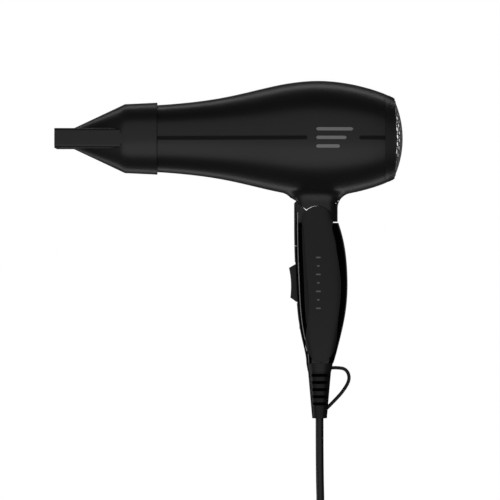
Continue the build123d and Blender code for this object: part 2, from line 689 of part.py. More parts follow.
# ---------------------------------------------------------------- concentrator nozzle
NOZZLE_BACK = BARREL_FRONT - GAP
DUCT_BACK = NOZZLE_SHOULDER - 3
DUCT_CORNER = 2.6
with BuildPart() as nozzle:
    with BuildSketch(Plane.XZ):
        with BuildLine():
            Polyline(
                (NOZZLE_BACK, AXIS_Z),
                (NOZZLE_BACK, AXIS_Z + NOZZLE_RADIUS),
                (NOZZLE_SHOULDER, AXIS_Z + NOZZLE_SHOULDER_RADIUS),
                (NOZZLE_STRAIGHT, AXIS_Z + DUCT_TIP_HALF_HEIGHT),
                (NOZZLE_STRAIGHT, AXIS_Z),
                close=True,
            )
        make_face()
    revolve(axis=BARREL_AXIS)
    with BuildSketch(Plane.XY.offset(AXIS_Z - DUCT_TIP_HALF_HEIGHT)):
        with BuildLine():
            Polyline(
                (DUCT_BACK, DUCT_BACK_HALF_WIDTH),
                (NOZZLE_TIP, DUCT_TIP_HALF_WIDTH),
                (NOZZLE_TIP, -DUCT_TIP_HALF_WIDTH),
                (DUCT_BACK, -DUCT_BACK_HALF_WIDTH),
                close=True,
            )
        make_face()
    flat_duct = extrude(amount=2 * DUCT_TIP_HALF_HEIGHT, mode=Mode.PRIVATE)
    side_edges = flat_duct.edges().filter_by(
        lambda edge: abs(edge.center().Y) > DUCT_BACK_HALF_WIDTH - 1
        and abs(edge.center().Z - AXIS_Z) > 1
    )
    add(flat_duct.fillet(DUCT_CORNER, side_edges))
    # hollow cone, flat air channel and the socket for the outlet grille
    with BuildSketch(Plane.XZ):
        with BuildLine():
            Polyline(
                (NOZZLE_BACK + 1, AXIS_Z),
                (NOZZLE_BACK + 1, AXIS_Z + NOSE_RING_RADIUS + GAP),
                (NOSE_RING_FRONT - 1, AXIS_Z + NOSE_RING_RADIUS + GAP),
                (NOZZLE_SHOULDER, AXIS_Z + NOZZLE_SHOULDER_RADIUS - NOZZLE_WALL),
                (NOZZLE_STRAIGHT, AXIS_Z + DUCT_TIP_HALF_HEIGHT - NOZZLE_WALL),
                (NOZZLE_STRAIGHT, AXIS_Z),
                close=True,
            )
        make_face()
    revolve(axis=BARREL_AXIS, mode=Mode.SUBTRACT)
    with BuildSketch(Plane.XY.offset(AXIS_Z - DUCT_TIP_HALF_HEIGHT + NOZZLE_WALL)):
        with BuildLine():
            Polyline(
                (DUCT_BACK - NOZZLE_WALL, DUCT_BACK_HALF_WIDTH - NOZZLE_WALL),
                (NOZZLE_TIP - 1, DUCT_TIP_HALF_WIDTH - NOZZLE_WALL),
                (NOZZLE_TIP - 1, -DUCT_TIP_HALF_WIDTH + NOZZLE_WALL),
                (DUCT_BACK - NOZZLE_WALL, -DUCT_BACK_HALF_WIDTH + NOZZLE_WALL),
                close=True,
            )
        make_face()
    extrude(amount=2 * (DUCT_TIP_HALF_HEIGHT - NOZZLE_WALL), mode=Mode.SUBTRACT)
save(nozzle.part, "nozzle")

# ---------------------------------------------------------------- grip
BASE_TOP = PIVOT_Z - BOSS_RADIUS - 1.0
KNUCKLE_BOTTOM = PIVOT_Z - GRIP_SEAM_DROP
SHELL_TOP = PIVOT_Z - 0.8
EAR_RADIUS = DISC_RADIUS - GAP
FAR = 60.0
panel_pocket = panel_outline(SEAM) - grip_pocket
ears = [
    cylinder_y(EAR_RADIUS, low, high, 0, PIVOT_Z) & grip_pocket
    for low, high in ((BOSS_HALF_WIDTH + 2 * GAP, FAR), (-FAR, -BOSS_HALF_WIDTH - 2 * GAP))
]

with BuildPart() as hinge_knuckle:
    add(grip_outer & block((-FAR, SPLIT_X - SEAM), (-FAR, FAR), (KNUCKLE_BOTTOM, BASE_TOP)))
    add(grip_outer & block((-FAR, -BOSS_RADIUS - 1), (-FAR, FAR), (BASE_TOP - 1, SHELL_TOP)))
    for radius, half_width in CREST_STEPS:
        add(grip_outer & sector(CREST_START, SWING_STOP, radius, half_width))
    add(panel_pocket, mode=Mode.SUBTRACT)
    add(cylinder_y(BOSS_RADIUS + 0.6, -20, 20, 0, PIVOT_Z), mode=Mode.SUBTRACT)
    for ear in ears:
        add(ear)
    add(cylinder_y(PIN_RADIUS + 0.05, -20, 20, 0, PIVOT_Z), mode=Mode.SUBTRACT)
    add(block((-6, 0), (-5, 5), (KNUCKLE_BOTTOM - 1, BASE_TOP + 1)), mode=Mode.SUBTRACT)
save(hinge_knuckle.part, "hinge_knuckle")

with BuildPart() as hinge_pin:
    add(cylinder_y(PIN_RADIUS, -PIN_HALF_LENGTH, PIN_HALF_LENGTH, 0, PIVOT_Z))
save(hinge_pin.part, "hinge_pin")

with BuildPart() as hinge_bushes:
    for low, high in ((0.4, BOSS_HALF_WIDTH), (-BOSS_HALF_WIDTH, -0.4)):
        sleeve = cylinder_y(PIN_RADIUS + BUSH_WALL, low, high, 0, PIVOT_Z)
        add(sleeve - cylinder_y(PIN_RADIUS + BUSH_FIT, low - 1, high + 1, 0, PIVOT_Z))
save(hinge_bushes.part, "hinge_bushes")

grip_wall = grip_outer - grip_inner
SCREW_DROPS = (30.0, 80.0)
GRIP_SCREW_X = 7.0
ROCKER_TOP = PIVOT_Z - ROCKER_PIVOT_DROP + 15.2
ROCKER_BOTTOM = PIVOT_Z - ROCKER_PIVOT_DROP - 14.9
SELECTOR_Z = PIVOT_Z - SELECTOR_DROP

with BuildPart() as grip_rear_shell:
    add(grip_wall & block((SPLIT_X + SEAM, FAR), (-FAR, FAR), (GRIP_BOTTOM - 1, SHELL_TOP)))
    add(panel_pocket, mode=Mode.SUBTRACT)
    for side in (-1, 1):
        low, high = sorted((side * (BOSS_HALF_WIDTH + 0.2), side * FAR))
        add(cylinder_y(EAR_RADIUS + GAP, low, high, 0, PIVOT_Z), mode=Mode.SUBTRACT)
        for drop in SCREW_DROPS:
            hole = cylinder_y(1.5, low, high, GRIP_SCREW_X, PIVOT_Z - drop)
            add(hole, mode=Mode.SUBTRACT)
save(grip_rear_shell.part, "grip_rear_shell")

with BuildPart() as grip_front_shell:
    add(grip_wall & block(
        (-FAR, SPLIT_X - SEAM), (-FAR, FAR), (GRIP_BOTTOM - 1, KNUCKLE_BOTTOM - SEAM)
    ))
    add(panel_pocket, mode=Mode.SUBTRACT)
    add(block(
        (-FAR, -5), (-ROCKER_HALF_WIDTH - GAP, ROCKER_HALF_WIDTH + GAP), (ROCKER_BOTTOM, ROCKER_TOP)
    ), mode=Mode.SUBTRACT)
    with BuildSketch(Plane.YZ.offset(-FAR)):
        with Locations((0, SELECTOR_Z)):
            Circle(SELECTOR_RADIUS + GAP)
    extrude(amount=FAR - 5, mode=Mode.SUBTRACT)
save(grip_front_shell.part, "grip_front_shell")

left_side = block((-FAR, FAR), (-FAR, 0), (GRIP_BOTTOM - FAR, PIVOT_Z + FAR))
left_panel = (grip_outer & panel_outline(0) & left_side) - grip_body(PANEL_THICKNESS)
save(left_panel, "side_panel_left")
save(mirror(left_panel, about=Plane.XZ), "side_panel_right")

CHASSIS_BOTTOM = GRIP_BOTTOM + 14.7
CHASSIS_TOP = KNUCKLE_BOTTOM - GAP
with BuildPart() as grip_chassis:
    add(block((-1.5, 9.5), (-7.6, 7.6), (CHASSIS_BOTTOM, CHASSIS_TOP)))
    for drop in SCREW_DROPS:
        boss = cylinder_y(2.6, -FAR, FAR, GRIP_SCREW_X, PIVOT_Z - drop)
        add(boss & grip_body(PANEL_THICKNESS + SEAM + SHELL_WALL + GAP))
    add(block((0.5, 6), (-6, 6), (CHASSIS_BOTTOM - 1, CHASSIS_TOP + 1)), mode=Mode.SUBTRACT)
    for drop in SCREW_DROPS:
        hole = cylinder_y(1.1, -FAR, FAR, GRIP_SCREW_X, PIVOT_Z - drop)
        add(hole, mode=Mode.SUBTRACT)
save(grip_chassis.part, "grip_chassis")

with BuildPart() as grip_screws:
    for drop in SCREW_DROPS:
        for side in (-1, 1):
            low, high = sorted((side * (BOSS_HALF_WIDTH - 1), side * FAR))
            shank = cylinder_y(1.0, low, high, GRIP_SCREW_X, PIVOT_Z - drop)
            add(shank & grip_body(PANEL_THICKNESS + SEAM + 0.3))
save(grip_screws.part, "grip_screws")

# ---------------------------------------------------------------- rocker switch
ROCKER_PIVOT = (ROCKER_PIVOT_X, PIVOT_Z - ROCKER_PIVOT_DROP)
with BuildPart() as rocker:
    with BuildSketch(Plane.XZ.offset(-ROCKER_HALF_WIDTH)):
        pivot_x, pivot_z = ROCKER_PIVOT
        with BuildLine():
            top = Line((-14.6, pivot_z + 14.3), (-20.6, pivot_z + 10.9))
            face = Spline(top @ 1, (-19.1, pivot_z - 1.5), (-19.6, pivot_z - 10.8))
            Polyline(face @ 1, (-15.3, pivot_z - 14.0), (-14.6, pivot_z - 14.0), top @ 0)
        make_face()
    extrude(amount=2 * ROCKER_HALF_WIDTH)
    with BuildSketch(Plane.XZ.offset(-3.4)):
        with Locations(ROCKER_PIVOT):
            Circle(1.6)
        with Locations((ROCKER_PIVOT_X - 1.5, pivot_z)):
            Rectangle(3.0, 2.4)
    extrude(amount=6.8)
    add(cylinder_y(1.0, -20, 20, *ROCKER_PIVOT), mode=Mode.SUBTRACT)
save(rocker.part, "rocker")

SWITCH_BACK = -1.7
with BuildPart() as switch_body:
    add(block((-10.0, SWITCH_BACK), (-7.0, 7.0), (pivot_z - 13, pivot_z + 13)))
    for low, high in ((3.7, 5.3), (-5.3, -3.7)):
        add(cylinder_y(1.6, low, high, *ROCKER_PIVOT))
        add(block((ROCKER_PIVOT_X, -9), (low, high), (pivot_z - 1.6, pivot_z + 1.6)))
    add(cylinder_y(0.95, -20, 20, *ROCKER_PIVOT), mode=Mode.SUBTRACT)
save(switch_body.part, "switch_body")
save(cylinder_y(0.9, -5.2, 5.2, *ROCKER_PIVOT), "rocker_pin")

with BuildPart() as switch_terminals:
    for y in (-4.0, 4.0):
        add(block((-7.5, -6.7), (y - 1.5, y + 1.5), (pivot_z - 19, pivot_z - 13.05)))
save(switch_terminals.part, "switch_terminals")

# ---------------------------------------------------------------- voltage selector
with BuildPart() as selector_dial:
    with BuildSketch(Plane.YZ.offset(-13.0)):
        with Locations((0, SELECTOR_Z)):
            Circle(SELECTOR_RADIUS)
    extrude(amount=4.6)
    with BuildSketch(Plane.YZ.offset(-9.0)):
        with Locations((0, SELECTOR_Z)):
            Circle(1.4)
    extrude(amount=4.0)
    add(block((-14, -12), (-0.6, 0.6), (SELECTOR_Z - 3, SELECTOR_Z + 3)), mode=Mode.SUBTRACT)
save(selector_dial.part, "selector_dial")

with BuildPart() as selector_switch:
    add(block((-8.0, SWITCH_BACK), (-6, 6), (SELECTOR_Z - 5, SELECTOR_Z + 5)))
    with BuildSketch(Plane.YZ.offset(-9)):
        with Locations((0, SELECTOR_Z)):
            Circle(1.6)
    extrude(amount=4.4, mode=Mode.SUBTRACT)
save(selector_switch.part, "selector_switch")

# ---------------------------------------------------------------- cord entry
CORD_CENTRE = (CORD_X, 0)
BORE_RADIUS = CORD_RADIUS + 0.05
COLLAR_STUB_RADIUS = 6.0
COLLAR_STUB_HEIGHT = 4.0
BOOT_NECK_RADIUS = 4.6


def cone_about_cord(top, bottom, top_radius, bottom_radius):
    """A solid cone or cylinder about the cord's axis, from its top down."""
    with BuildPart(mode=Mode.PRIVATE) as cone:
        faces = []
        for height, radius in ((top, top_radius), (bottom, bottom_radius)):
            with BuildSketch(Plane.XY.offset(height), mode=Mode.PRIVATE) as ring:
                with Locations(CORD_CENTRE):
                    Circle(radius)
            faces.append(ring.sketch)
        loft(sections=faces)
    return cone.part


COLLAR_TOP = GRIP_BOTTOM - SEAM
collar_cone = cone_about_cord(COLLAR_TOP, COLLAR_BOTTOM, COLLAR_TOP_RADIUS, COLLAR_END_RADIUS)
boot_cone = cone_about_cord(COLLAR_BOTTOM, BOOT_BOTTOM, BOOT_TOP_RADIUS, BOOT_END_RADIUS)
STUB_TOP = COLLAR_TOP + COLLAR_STUB_HEIGHT

with BuildPart() as grip_collar:
    add(collar_cone)
    add(cone_about_cord(STUB_TOP, COLLAR_TOP - 1, COLLAR_STUB_RADIUS, COLLAR_STUB_RADIUS))
    add(cone_about_cord(STUB_TOP + 1, COLLAR_BOTTOM - 1, BOOT_NECK_RADIUS + 0.1,
                        BOOT_NECK_RADIUS + 0.1), mode=Mode.SUBTRACT)
save(grip_collar.part, "grip_collar")

with BuildPart() as strain_relief:
    add(boot_cone)
    add(cone_about_cord(STUB_TOP + 0.1, COLLAR_BOTTOM - 1, BOOT_NECK_RADIUS, BOOT_NECK_RADIUS))
    add(cone_about_cord(STUB_TOP + 1.8, STUB_TOP + 0.1, 5.8, 5.8))
    slot_step = (BOOT_LENGTH - 8) / BOOT_SLOTS
    for side in (-1, 1):
        with BuildSketch(Plane.XZ.offset(-side * (CORD_RADIUS + 1.0))):
            for slot in range(BOOT_SLOTS):
                width = 12.0 - 0.55 * slot
                with Locations((CORD_X, COLLAR_BOTTOM - 2.6 - slot_step * slot)):
                    SlotOverall(width, 2.3)
        extrude(amount=-side * BOOT_TOP_RADIUS, mode=Mode.SUBTRACT)
    add(cone_about_cord(STUB_TOP + 3, BOOT_BOTTOM - 1, BORE_RADIUS, BORE_RADIUS), mode=Mode.SUBTRACT)
save(strain_relief.part, "strain_relief")

# Hanging loop's centre line: place, height below the collar's top
LOOP_POINTS = [
    (8.0, COLLAR_TOP - 3.4),
    (15.0, COLLAR_TOP - 3.0),
    (21.5, COLLAR_TOP - 4.4),
    (23.9, COLLAR_TOP - 11.0),
    (20.6, COLLAR_TOP - 18.0),
    (14.4, COLLAR_TOP - 25.6),
    (5.0, COLLAR_TOP - 34.8),
]
with BuildPart() as hanging_loop:
    with BuildLine(Plane.XZ) as loop_path:
        FilletPolyline(*LOOP_POINTS, radius=[3, 3, 4, 6, 6])
    with BuildSketch(Plane(origin=loop_path.wires()[0] @ 0, z_dir=loop_path.wires()[0] % 0)):
        Circle(LOOP_RADIUS)
    sweep()
    for solid in (collar_cone, boot_cone):
        add(solid, mode=Mode.SUBTRACT)
loop_solid = hanging_loop.solids().sort_by(SortBy.VOLUME)[-1]
save(loop_solid, "hanging_loop")

CLAMP_BOTTOM = STUB_TOP + 2.8
with BuildPart() as cord_clamp:
    add(block((CORD_X - 5.4, CORD_X + 5.4), (-5.4, 5.4), (CLAMP_BOTTOM, CHASSIS_BOTTOM - GAP)))
    add(cone_about_cord(CHASSIS_BOTTOM, CLAMP_BOTTOM - 1, BORE_RADIUS, BORE_RADIUS),
        mode=Mode.SUBTRACT)
save(cord_clamp.part, "cord_clamp")
save(cone_about_cord(CHASSIS_BOTTOM - 1, BOOT_BOTTOM, CORD_RADIUS, CORD_RADIUS), "cord_tail")

with BuildPart() as grip_leads:
    for y in (-1.5, 1.5):
        add(block((CORD_X + 0.4, CORD_X + 2.0), (y - 0.8, y + 0.8),
                  (CHASSIS_BOTTOM - 0.8, CHASSIS_TOP)))
save(grip_leads.part, "grip_leads")

# ---------------------------------------------------------------- mains cord and plug
CORD_ROUTE = [
    (CORD_X, 0, BOOT_BOTTOM),
    (CORD_X, 0, -133.0),
    (2.9, 0, -171.0),
    (-19.0, 0, -194.5),
    (-51.0, 0, -199.0),
]
PLUG_LEAD_ROUTE = [(-51.0, 64.0, -207.6), (-28.0, 67.0, -204.6), (-6.0, 67.0, -204.6)]
COIL_CENTRE = (-51.0, 32.0)
COIL_BOTTOM = FLOOR_Z + TIE_THICKNESS + 0.3


def cord_tube(route):
    """A tube of straight runs and tangent arcs along a route, and its arcs' radii."""
    points = [Vector(*point) for point in route]
    radii = []
    for before, corner, after in zip(points, points[1:], points[2:]):
        turn = (corner - before).get_angle(after - corner)
        shorter = min((corner - before).length, (after - corner).length)
        radii.append(0.45 * shorter / tan(radians(turn / 2)))
    with BuildPart(mode=Mode.PRIVATE) as tube:
        with BuildLine() as path:
            FilletPolyline(*route, radius=radii)
        wire = path.wires()[0]
        with BuildSketch(Plane(origin=wire @ 0, z_dir=wire % 0)):
            Circle(CORD_RADIUS)
        sweep(path=wire)
    ideal = pi * CORD_RADIUS**2 * wire.length
    print("bend radii", [round(r, 1) for r in radii], "length", round(wire.length, 1),
          "volume ratio", round(tube.part.volume / ideal, 4))
    return tube.part


save(cord_tube(CORD_ROUTE), "mains_cord")
save(cord_tube(PLUG_LEAD_ROUTE), "plug_lead")

with BuildPart() as cord_coil:
    with BuildSketch(Plane.XZ.offset(-COIL_CENTRE[1])):
        with Locations((COIL_CENTRE[0] + COIL_MEAN_RADIUS, COIL_BOTTOM + COIL_SIDE / 2)):
            RectangleRounded(COIL_SIDE, COIL_SIDE, 4.0)
    revolve(axis=Axis((COIL_CENTRE[0], COIL_CENTRE[1], 0), (0, 0, 1)))
save(cord_coil.part, "cord_coil")

with BuildPart() as coil_tie:
    with BuildSketch(Plane.XZ.offset(-COIL_CENTRE[1] + 5)):
        with Locations((COIL_CENTRE[0] - COIL_MEAN_RADIUS, COIL_BOTTOM + COIL_SIDE / 2)):
            outer_side = COIL_SIDE + 2 * (TIE_THICKNESS + GAP)
            RectangleRounded(outer_side + 2.4, outer_side, 5.0)
            RectangleRounded(COIL_SIDE + 2 * GAP + 2.4, COIL_SIDE + 2 * GAP, 3.5, mode=Mode.SUBTRACT)
    extrude(amount=-10.0)
save(coil_tie.part, "coil_tie")

PLUG_START = PLUG_LEAD_ROUTE[-1]
PLUG_Z = FLOOR_Z + 8.6
PLUG_NECK_RADIUS = 4.6
PLUG_WAIST = (15.0, 24.0, 14.5, 6.0)   # place, width, height, corner radius
PLUG_HEAD = (27.0, 35.0, 17.0, 8.0)
PLUG_HEAD_LENGTH = 9.0
with BuildPart() as plug_body:
    with BuildSketch(Plane.YZ.offset(PLUG_START[0])):
        with Locations((PLUG_START[1], PLUG_START[2])):
            Circle(PLUG_NECK_RADIUS)
    for place, width, height, corner in (PLUG_WAIST, PLUG_HEAD):
        with BuildSketch(Plane.YZ.offset(PLUG_START[0] + place)):
            with Locations((PLUG_START[1], PLUG_Z)):
                RectangleRounded(width, height, corner)
    loft()
    with BuildSketch(Plane.YZ.offset(PLUG_START[0] + PLUG_HEAD[0])):
        with Locations((PLUG_START[1], PLUG_Z)):
            RectangleRounded(*PLUG_HEAD[1:])
    extrude(amount=PLUG_HEAD_LENGTH)
save(plug_body.part, "plug_body")

PLUG_FACE = PLUG_START[0] + PLUG_HEAD[0] + PLUG_HEAD_LENGTH
with BuildPart() as plug_pins:
    with BuildSketch(Plane.YZ.offset(PLUG_FACE)):
        with Locations((PLUG_START[1] - PLUG_PIN_SPACING / 2, PLUG_Z),
                       (PLUG_START[1] + PLUG_PIN_SPACING / 2, PLUG_Z)):
            Circle(PLUG_PIN_DIAMETER / 2)
    extrude(amount=PLUG_PIN_LENGTH)
save(plug_pins.part, "plug_pins")
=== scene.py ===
"""Looks of a folding travel hair dryer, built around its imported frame.

Each sub-assembly is a class that builds its meshes and dresses them. Finishes are frozen
dataclasses that make one procedural material each. Lengths are in metres.
"""
import logging
import math
from dataclasses import dataclass, field
from enum import Enum
from typing import Iterable, Optional, Union

import bmesh
import bpy
from mathutils import Matrix, Vector
from mathutils.bvhtree import BVHTree

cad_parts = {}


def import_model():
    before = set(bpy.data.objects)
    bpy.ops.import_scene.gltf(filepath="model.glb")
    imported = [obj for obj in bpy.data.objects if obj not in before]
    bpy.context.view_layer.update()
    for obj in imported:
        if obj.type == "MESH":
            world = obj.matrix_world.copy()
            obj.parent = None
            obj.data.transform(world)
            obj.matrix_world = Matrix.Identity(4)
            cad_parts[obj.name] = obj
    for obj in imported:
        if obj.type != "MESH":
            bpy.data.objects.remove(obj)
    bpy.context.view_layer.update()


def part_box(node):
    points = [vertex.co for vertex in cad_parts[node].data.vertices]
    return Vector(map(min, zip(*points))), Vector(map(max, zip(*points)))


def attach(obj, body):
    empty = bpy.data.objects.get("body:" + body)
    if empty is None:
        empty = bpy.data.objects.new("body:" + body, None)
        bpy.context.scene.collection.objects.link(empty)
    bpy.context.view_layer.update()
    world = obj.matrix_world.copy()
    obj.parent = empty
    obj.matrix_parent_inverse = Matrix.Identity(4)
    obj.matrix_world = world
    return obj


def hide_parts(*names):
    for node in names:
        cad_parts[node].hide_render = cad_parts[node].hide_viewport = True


LOG = logging.getLogger("hair_dryer")
MM = 0.001
AXIS_Z = 110.7 * MM
MERGE_DISTANCE = 2e-6
SLIVER_LENGTH = 1e-7
SMALLEST = 1e-6
SHARP_TURN = 32.0
ROUND_STEPS = 128
BAR_END_SHARE = 0.3           # how blunt a printed bar's ends are
CELL_SIDES = 6
ROW_SHARE = math.sqrt(3) / 2  # distance between rows of cells, in pitches
SPARE_CELLS = 5               # cells past the rim, clipped afterwards
CREST_SHARE = 0.1             # how far a cell wall's crest is set in from its middle
CELL_SPILL = 0.1              # cells kept past the rim, in pitches
CELL_TUCK = 0.3               # how far cells end under the band, in borders
BAND_CREST_SHARE = 0.4
NUMBER = "NodeSocketFloat"

Value = Union[float, bpy.types.NodeSocket]


class Body(Enum):
    """Rigid bodies of the dryer that a piece can ride on."""

    GRIP = "handle"
    BARREL = "barrel"
    ROTOR = "rotor"
    COVER = "rear_cover"
    NOZZLE = "nozzle"
    ROCKER = "rocker"
    SELECTOR = "selector"


# ------------------------------------------------------------------ node tree helpers
def add_node(tree: bpy.types.NodeTree, kind: str, **values: object) -> bpy.types.Node:
    """Add a node and set its attributes and inputs.

    Args:
        tree: the tree that gets the node.
        kind: the node's type name.
        values: attributes of the node, or names of its inputs with underscores. An input
            takes a value or the socket that feeds it.

    Returns:
        The new node.
    """
    node = tree.nodes.new(kind)
    for name, value in values.items():
        label = name.replace("_", " ")
        if label not in node.inputs:
            setattr(node, name, value)
        elif isinstance(value, bpy.types.NodeSocket):
            tree.links.new(value, node.inputs[label])
        else:
            node.inputs[label].default_value = value
    return node


def math_node(tree: bpy.types.NodeTree, operation: str, first: Value,
              second: Value = 0.0) -> bpy.types.NodeSocket:
    """Add a math node.

    Args:
        tree: the tree that gets the node.
        operation: the sum it does.
        first: its first socket or number.
        second: its second socket or number.

    Returns:
        The socket with the result.
    """
    node = tree.nodes.new("ShaderNodeMath")
    node.operation = operation
    for slot, value in enumerate((first, second)):
        if isinstance(value, bpy.types.NodeSocket):
            tree.links.new(value, node.inputs[slot])
        else:
            node.inputs[slot].default_value = value
    return node.outputs[0]


def new_group(name: str, kind: str, inputs: dict, outputs: dict) -> bpy.types.NodeTree:
    """Make a node group with named sockets.

    Args:
        name: the group's name.
        kind: the type of tree, for shaders or geometry.
        inputs: socket name to (socket type, default value).
        outputs: socket name to socket type.

    Returns:
        The group, with its input and output nodes in place.
    """
    group = bpy.data.node_groups.new(name, kind)
    for label, (socket, value) in inputs.items():
        made = group.interface.new_socket(label, in_out="INPUT", socket_type=socket)
        if value is not None:
            made.default_value = value
    for label, socket in outputs.items():
        group.interface.new_socket(label, in_out="OUTPUT", socket_type=socket)
    group.nodes.new("NodeGroupInput")
    group.nodes.new("NodeGroupOutput")
    return group


# ------------------------------------------------------------------ shared surface effects
DRIFT_SCALE = 38.0            # slow change of roughness, per metre
SPECK_SCALE = 2600.0          # dust specks, per metre
SPECK_CUTOFF = 0.74           # noise above this is a speck
DUST_COLOUR = (0.32, 0.31, 0.3, 1.0)
MIX_COLOUR_A, MIX_COLOUR_B, MIX_RESULT = 6, 7, 2
COAT_ROUGHNESS = 0.06


def grain_group() -> bpy.types.NodeTree:
    """Moulded grain: a fine height field, a slow drift of roughness and rare dust specks.

    Returns:
        The shader group, built once and shared by every finish.
    """
    name = "moulded_grain"
    if name in bpy.data.node_groups:
        return bpy.data.node_groups[name]
    group = new_group(name, "ShaderNodeTree", {
        "Base": ("NodeSocketColor", (0.02, 0.02, 0.02, 1.0)), "Grain Size": (NUMBER, 900.0),
        "Roughness": (NUMBER, 0.45), "Variation": (NUMBER, 0.05), "Dust": (NUMBER, 0.0),
    }, {"Color": "NodeSocketColor", "Roughness": NUMBER, "Height": NUMBER})
    link = group.links.new
    source = group.nodes["Group Input"].outputs
    result = group.nodes["Group Output"].inputs
    place = group.nodes.new("ShaderNodeTexCoord").outputs["Object"]
    fine = add_node(group, "ShaderNodeTexNoise", Vector=place, Scale=source["Grain Size"],
                    Detail=2.0, Roughness=0.55)
    link(fine.outputs["Fac"], result["Height"])
    slow = add_node(group, "ShaderNodeTexNoise", Vector=place, Scale=DRIFT_SCALE, Detail=4.0,
                    Roughness=0.6)
    shift = math_node(group, "SUBTRACT", slow.outputs["Fac"], 0.5)
    swing = math_node(group, "MULTIPLY", shift, source["Variation"])
    link(math_node(group, "ADD", source["Roughness"], swing), result["Roughness"])
    specks = add_node(group, "ShaderNodeTexNoise", Vector=place, Scale=SPECK_SCALE, Detail=1.0)
    rare = math_node(group, "GREATER_THAN", specks.outputs["Fac"], SPECK_CUTOFF)
    mix = add_node(group, "ShaderNodeMix", data_type="RGBA")
    link(math_node(group, "MULTIPLY", rare, source["Dust"]), mix.inputs[0])
    link(source["Base"], mix.inputs[MIX_COLOUR_A])
    mix.inputs[MIX_COLOUR_B].default_value = DUST_COLOUR
    link(mix.outputs[MIX_RESULT], result["Color"])
    return group


@dataclass(frozen=True)
class Finish:
    """A moulded or painted finish with its own grain.

    Attributes:
        name: the material's name.
        slot: a material slot name; not used.
        base: linear base colour.
        roughness: mean roughness.
        grain: spatial frequency of the grain, per metre.
        depth: height of the grain, in metres.
        variation: how far the roughness drifts over the surface.
        coat: weight of a clear coat.
        metallic: how metallic the surface is.
        dust: strength of the dust specks.
        specular: specular level.
    """

    name: str
    slot: str
    base: tuple
    roughness: float
    grain: float = 2500.0
    depth: float = 1e-5
    variation: float = 0.06
    coat: float = 0.0
    metallic: float = 0.0
    dust: float = 0.0
    specular: float = 0.5

    def material(self) -> bpy.types.Material:
        """Make the material, or find it where it was made before.

        Returns:
            The material.
        """
        label = "worked_" + self.name
        if label in bpy.data.materials:
            return bpy.data.materials[label]
        made = bpy.data.materials.new(label)
        made.use_nodes = True
        tree = made.node_tree
        shader = tree.nodes["Principled BSDF"].inputs
        for socket, value in (("Metallic", self.metallic), ("Coat Weight", self.coat),
                              ("Coat Roughness", COAT_ROUGHNESS),
                              ("Specular IOR Level", self.specular),
                              ("Base Color", (*self.base, 1.0))):
            shader[socket].default_value = value
        grain = add_node(tree, "ShaderNodeGroup", node_tree=grain_group(),
                         Base=(*self.base, 1.0), Grain_Size=self.grain,
                         Roughness=self.roughness, Variation=self.variation, Dust=self.dust)
        bump = add_node(tree, "ShaderNodeBump", Strength=1.0, Distance=self.depth,
                        Height=grain.outputs["Height"])
        if self.dust:
            tree.links.new(grain.outputs["Color"], shader["Base Color"])
        tree.links.new(grain.outputs["Roughness"], shader["Roughness"])
        tree.links.new(bump.outputs["Normal"], shader["Normal"])
        return made


SOFT_TOUCH = Finish("soft_touch_black", "soft_touch_black", (0.014, 0.014, 0.0145), 0.33, 3200.0,
                    4e-6, dust=0.02, specular=0.5)
SATIN = Finish("satin_black", "satin_black", (0.016, 0.016, 0.0165), 0.34, 3600.0, 4e-6,
               specular=0.5)
GLOSS = Finish("gloss_black", "gloss_black", (0.0008, 0.0008, 0.0008), 0.06, 700.0, 6e-7,
               variation=0.02, coat=0.25, specular=0.25)
PANEL = Finish("panel_black", "panel_black", (0.012, 0.012, 0.0125), 0.46, 4200.0, 7e-6,
               specular=0.36)
STRIPE = Finish("stripe_black", "stripe_black", (0.006, 0.006, 0.006), 0.4, 3600.0, 3e-6,
                specular=0.16)
GRILLE = Finish("grille_grey", "grille_grey", (0.3, 0.3, 0.31), 0.3, 1500.0, 4e-6,
                metallic=0.85)
MESH = Finish("filter_mesh", "filter_mesh", (0.006, 0.006, 0.006), 0.8, 3000.0, 1e-5)
RUBBER = Finish("boot_rubber", "boot_rubber", (0.008, 0.008, 0.008), 0.44, 2600.0, 1e-5,
                dust=0.05, specular=0.3)
# Painted shade: near-black matte finish for the boot's slot floors, standing in for the shadow
# inside the slots.
PAINTED_SLOT_SHADE = Finish("painted_slot_shade", "boot_rubber", (0.0015, 0.0015, 0.0015), 0.85, 2600.0, 1e-5,
                    specular=0.05)
CORD = Finish("cord_rubber", "cord_rubber", (0.009, 0.009, 0.009), 0.4, 2600.0, 8e-6,
              dust=0.04)
PLUG = Finish("plug_black", "plug_black", (0.01, 0.01, 0.01), 0.38, 2400.0, 1e-5)
BRASS = Finish("contact_brass", "contact_brass", (0.72, 0.68, 0.6), 0.22, 900.0, 2e-6,
               metallic=1.0)
STEEL = Finish("steel", "steel", (0.55, 0.55, 0.57), 0.3, 1200.0, 3e-6, metallic=1.0)
INNER = Finish("inner_black", "inner_black", (0.012, 0.012, 0.013), 0.55, 1800.0, 1e-5)
MICA = Finish("mica_tan", "mica_tan", (0.5, 0.42, 0.28), 0.6, 400.0, 2e-5)
WIRE = Finish("heater_wire", "heater_wire", (0.4, 0.36, 0.33), 0.4, 900.0, 1e-5, metallic=0.9)
FERRITE = Finish("ferrite", "ferrite", (0.06, 0.06, 0.06), 0.7, 900.0, 2e-5)
BOARD = Finish("board_green", "board_green", (0.03, 0.16, 0.06), 0.35, 500.0, 1e-5)
DARK = Finish("component_dark", "component_dark", (0.03, 0.03, 0.03), 0.3, 900.0, 4e-6)
PRINT = Finish("printed_grey", "soft_touch_black", (0.3, 0.3, 0.31), 0.45, 2500.0, 1e-6)
PRINT_DIM = Finish("printed_dim_grey", "panel_black", (0.16, 0.16, 0.165), 0.45, 2500.0, 1e-6)


# ------------------------------------------------------------------ geometry tree helpers
def place_parts(tree: bpy.types.NodeTree) -> bpy.types.NodeOutputs:
    """Outputs X, Y and Z of the place of each point."""
    place = tree.nodes.new("GeometryNodeInputPosition").outputs[0]
    return add_node(tree, "ShaderNodeSeparateXYZ", Vector=place).outputs


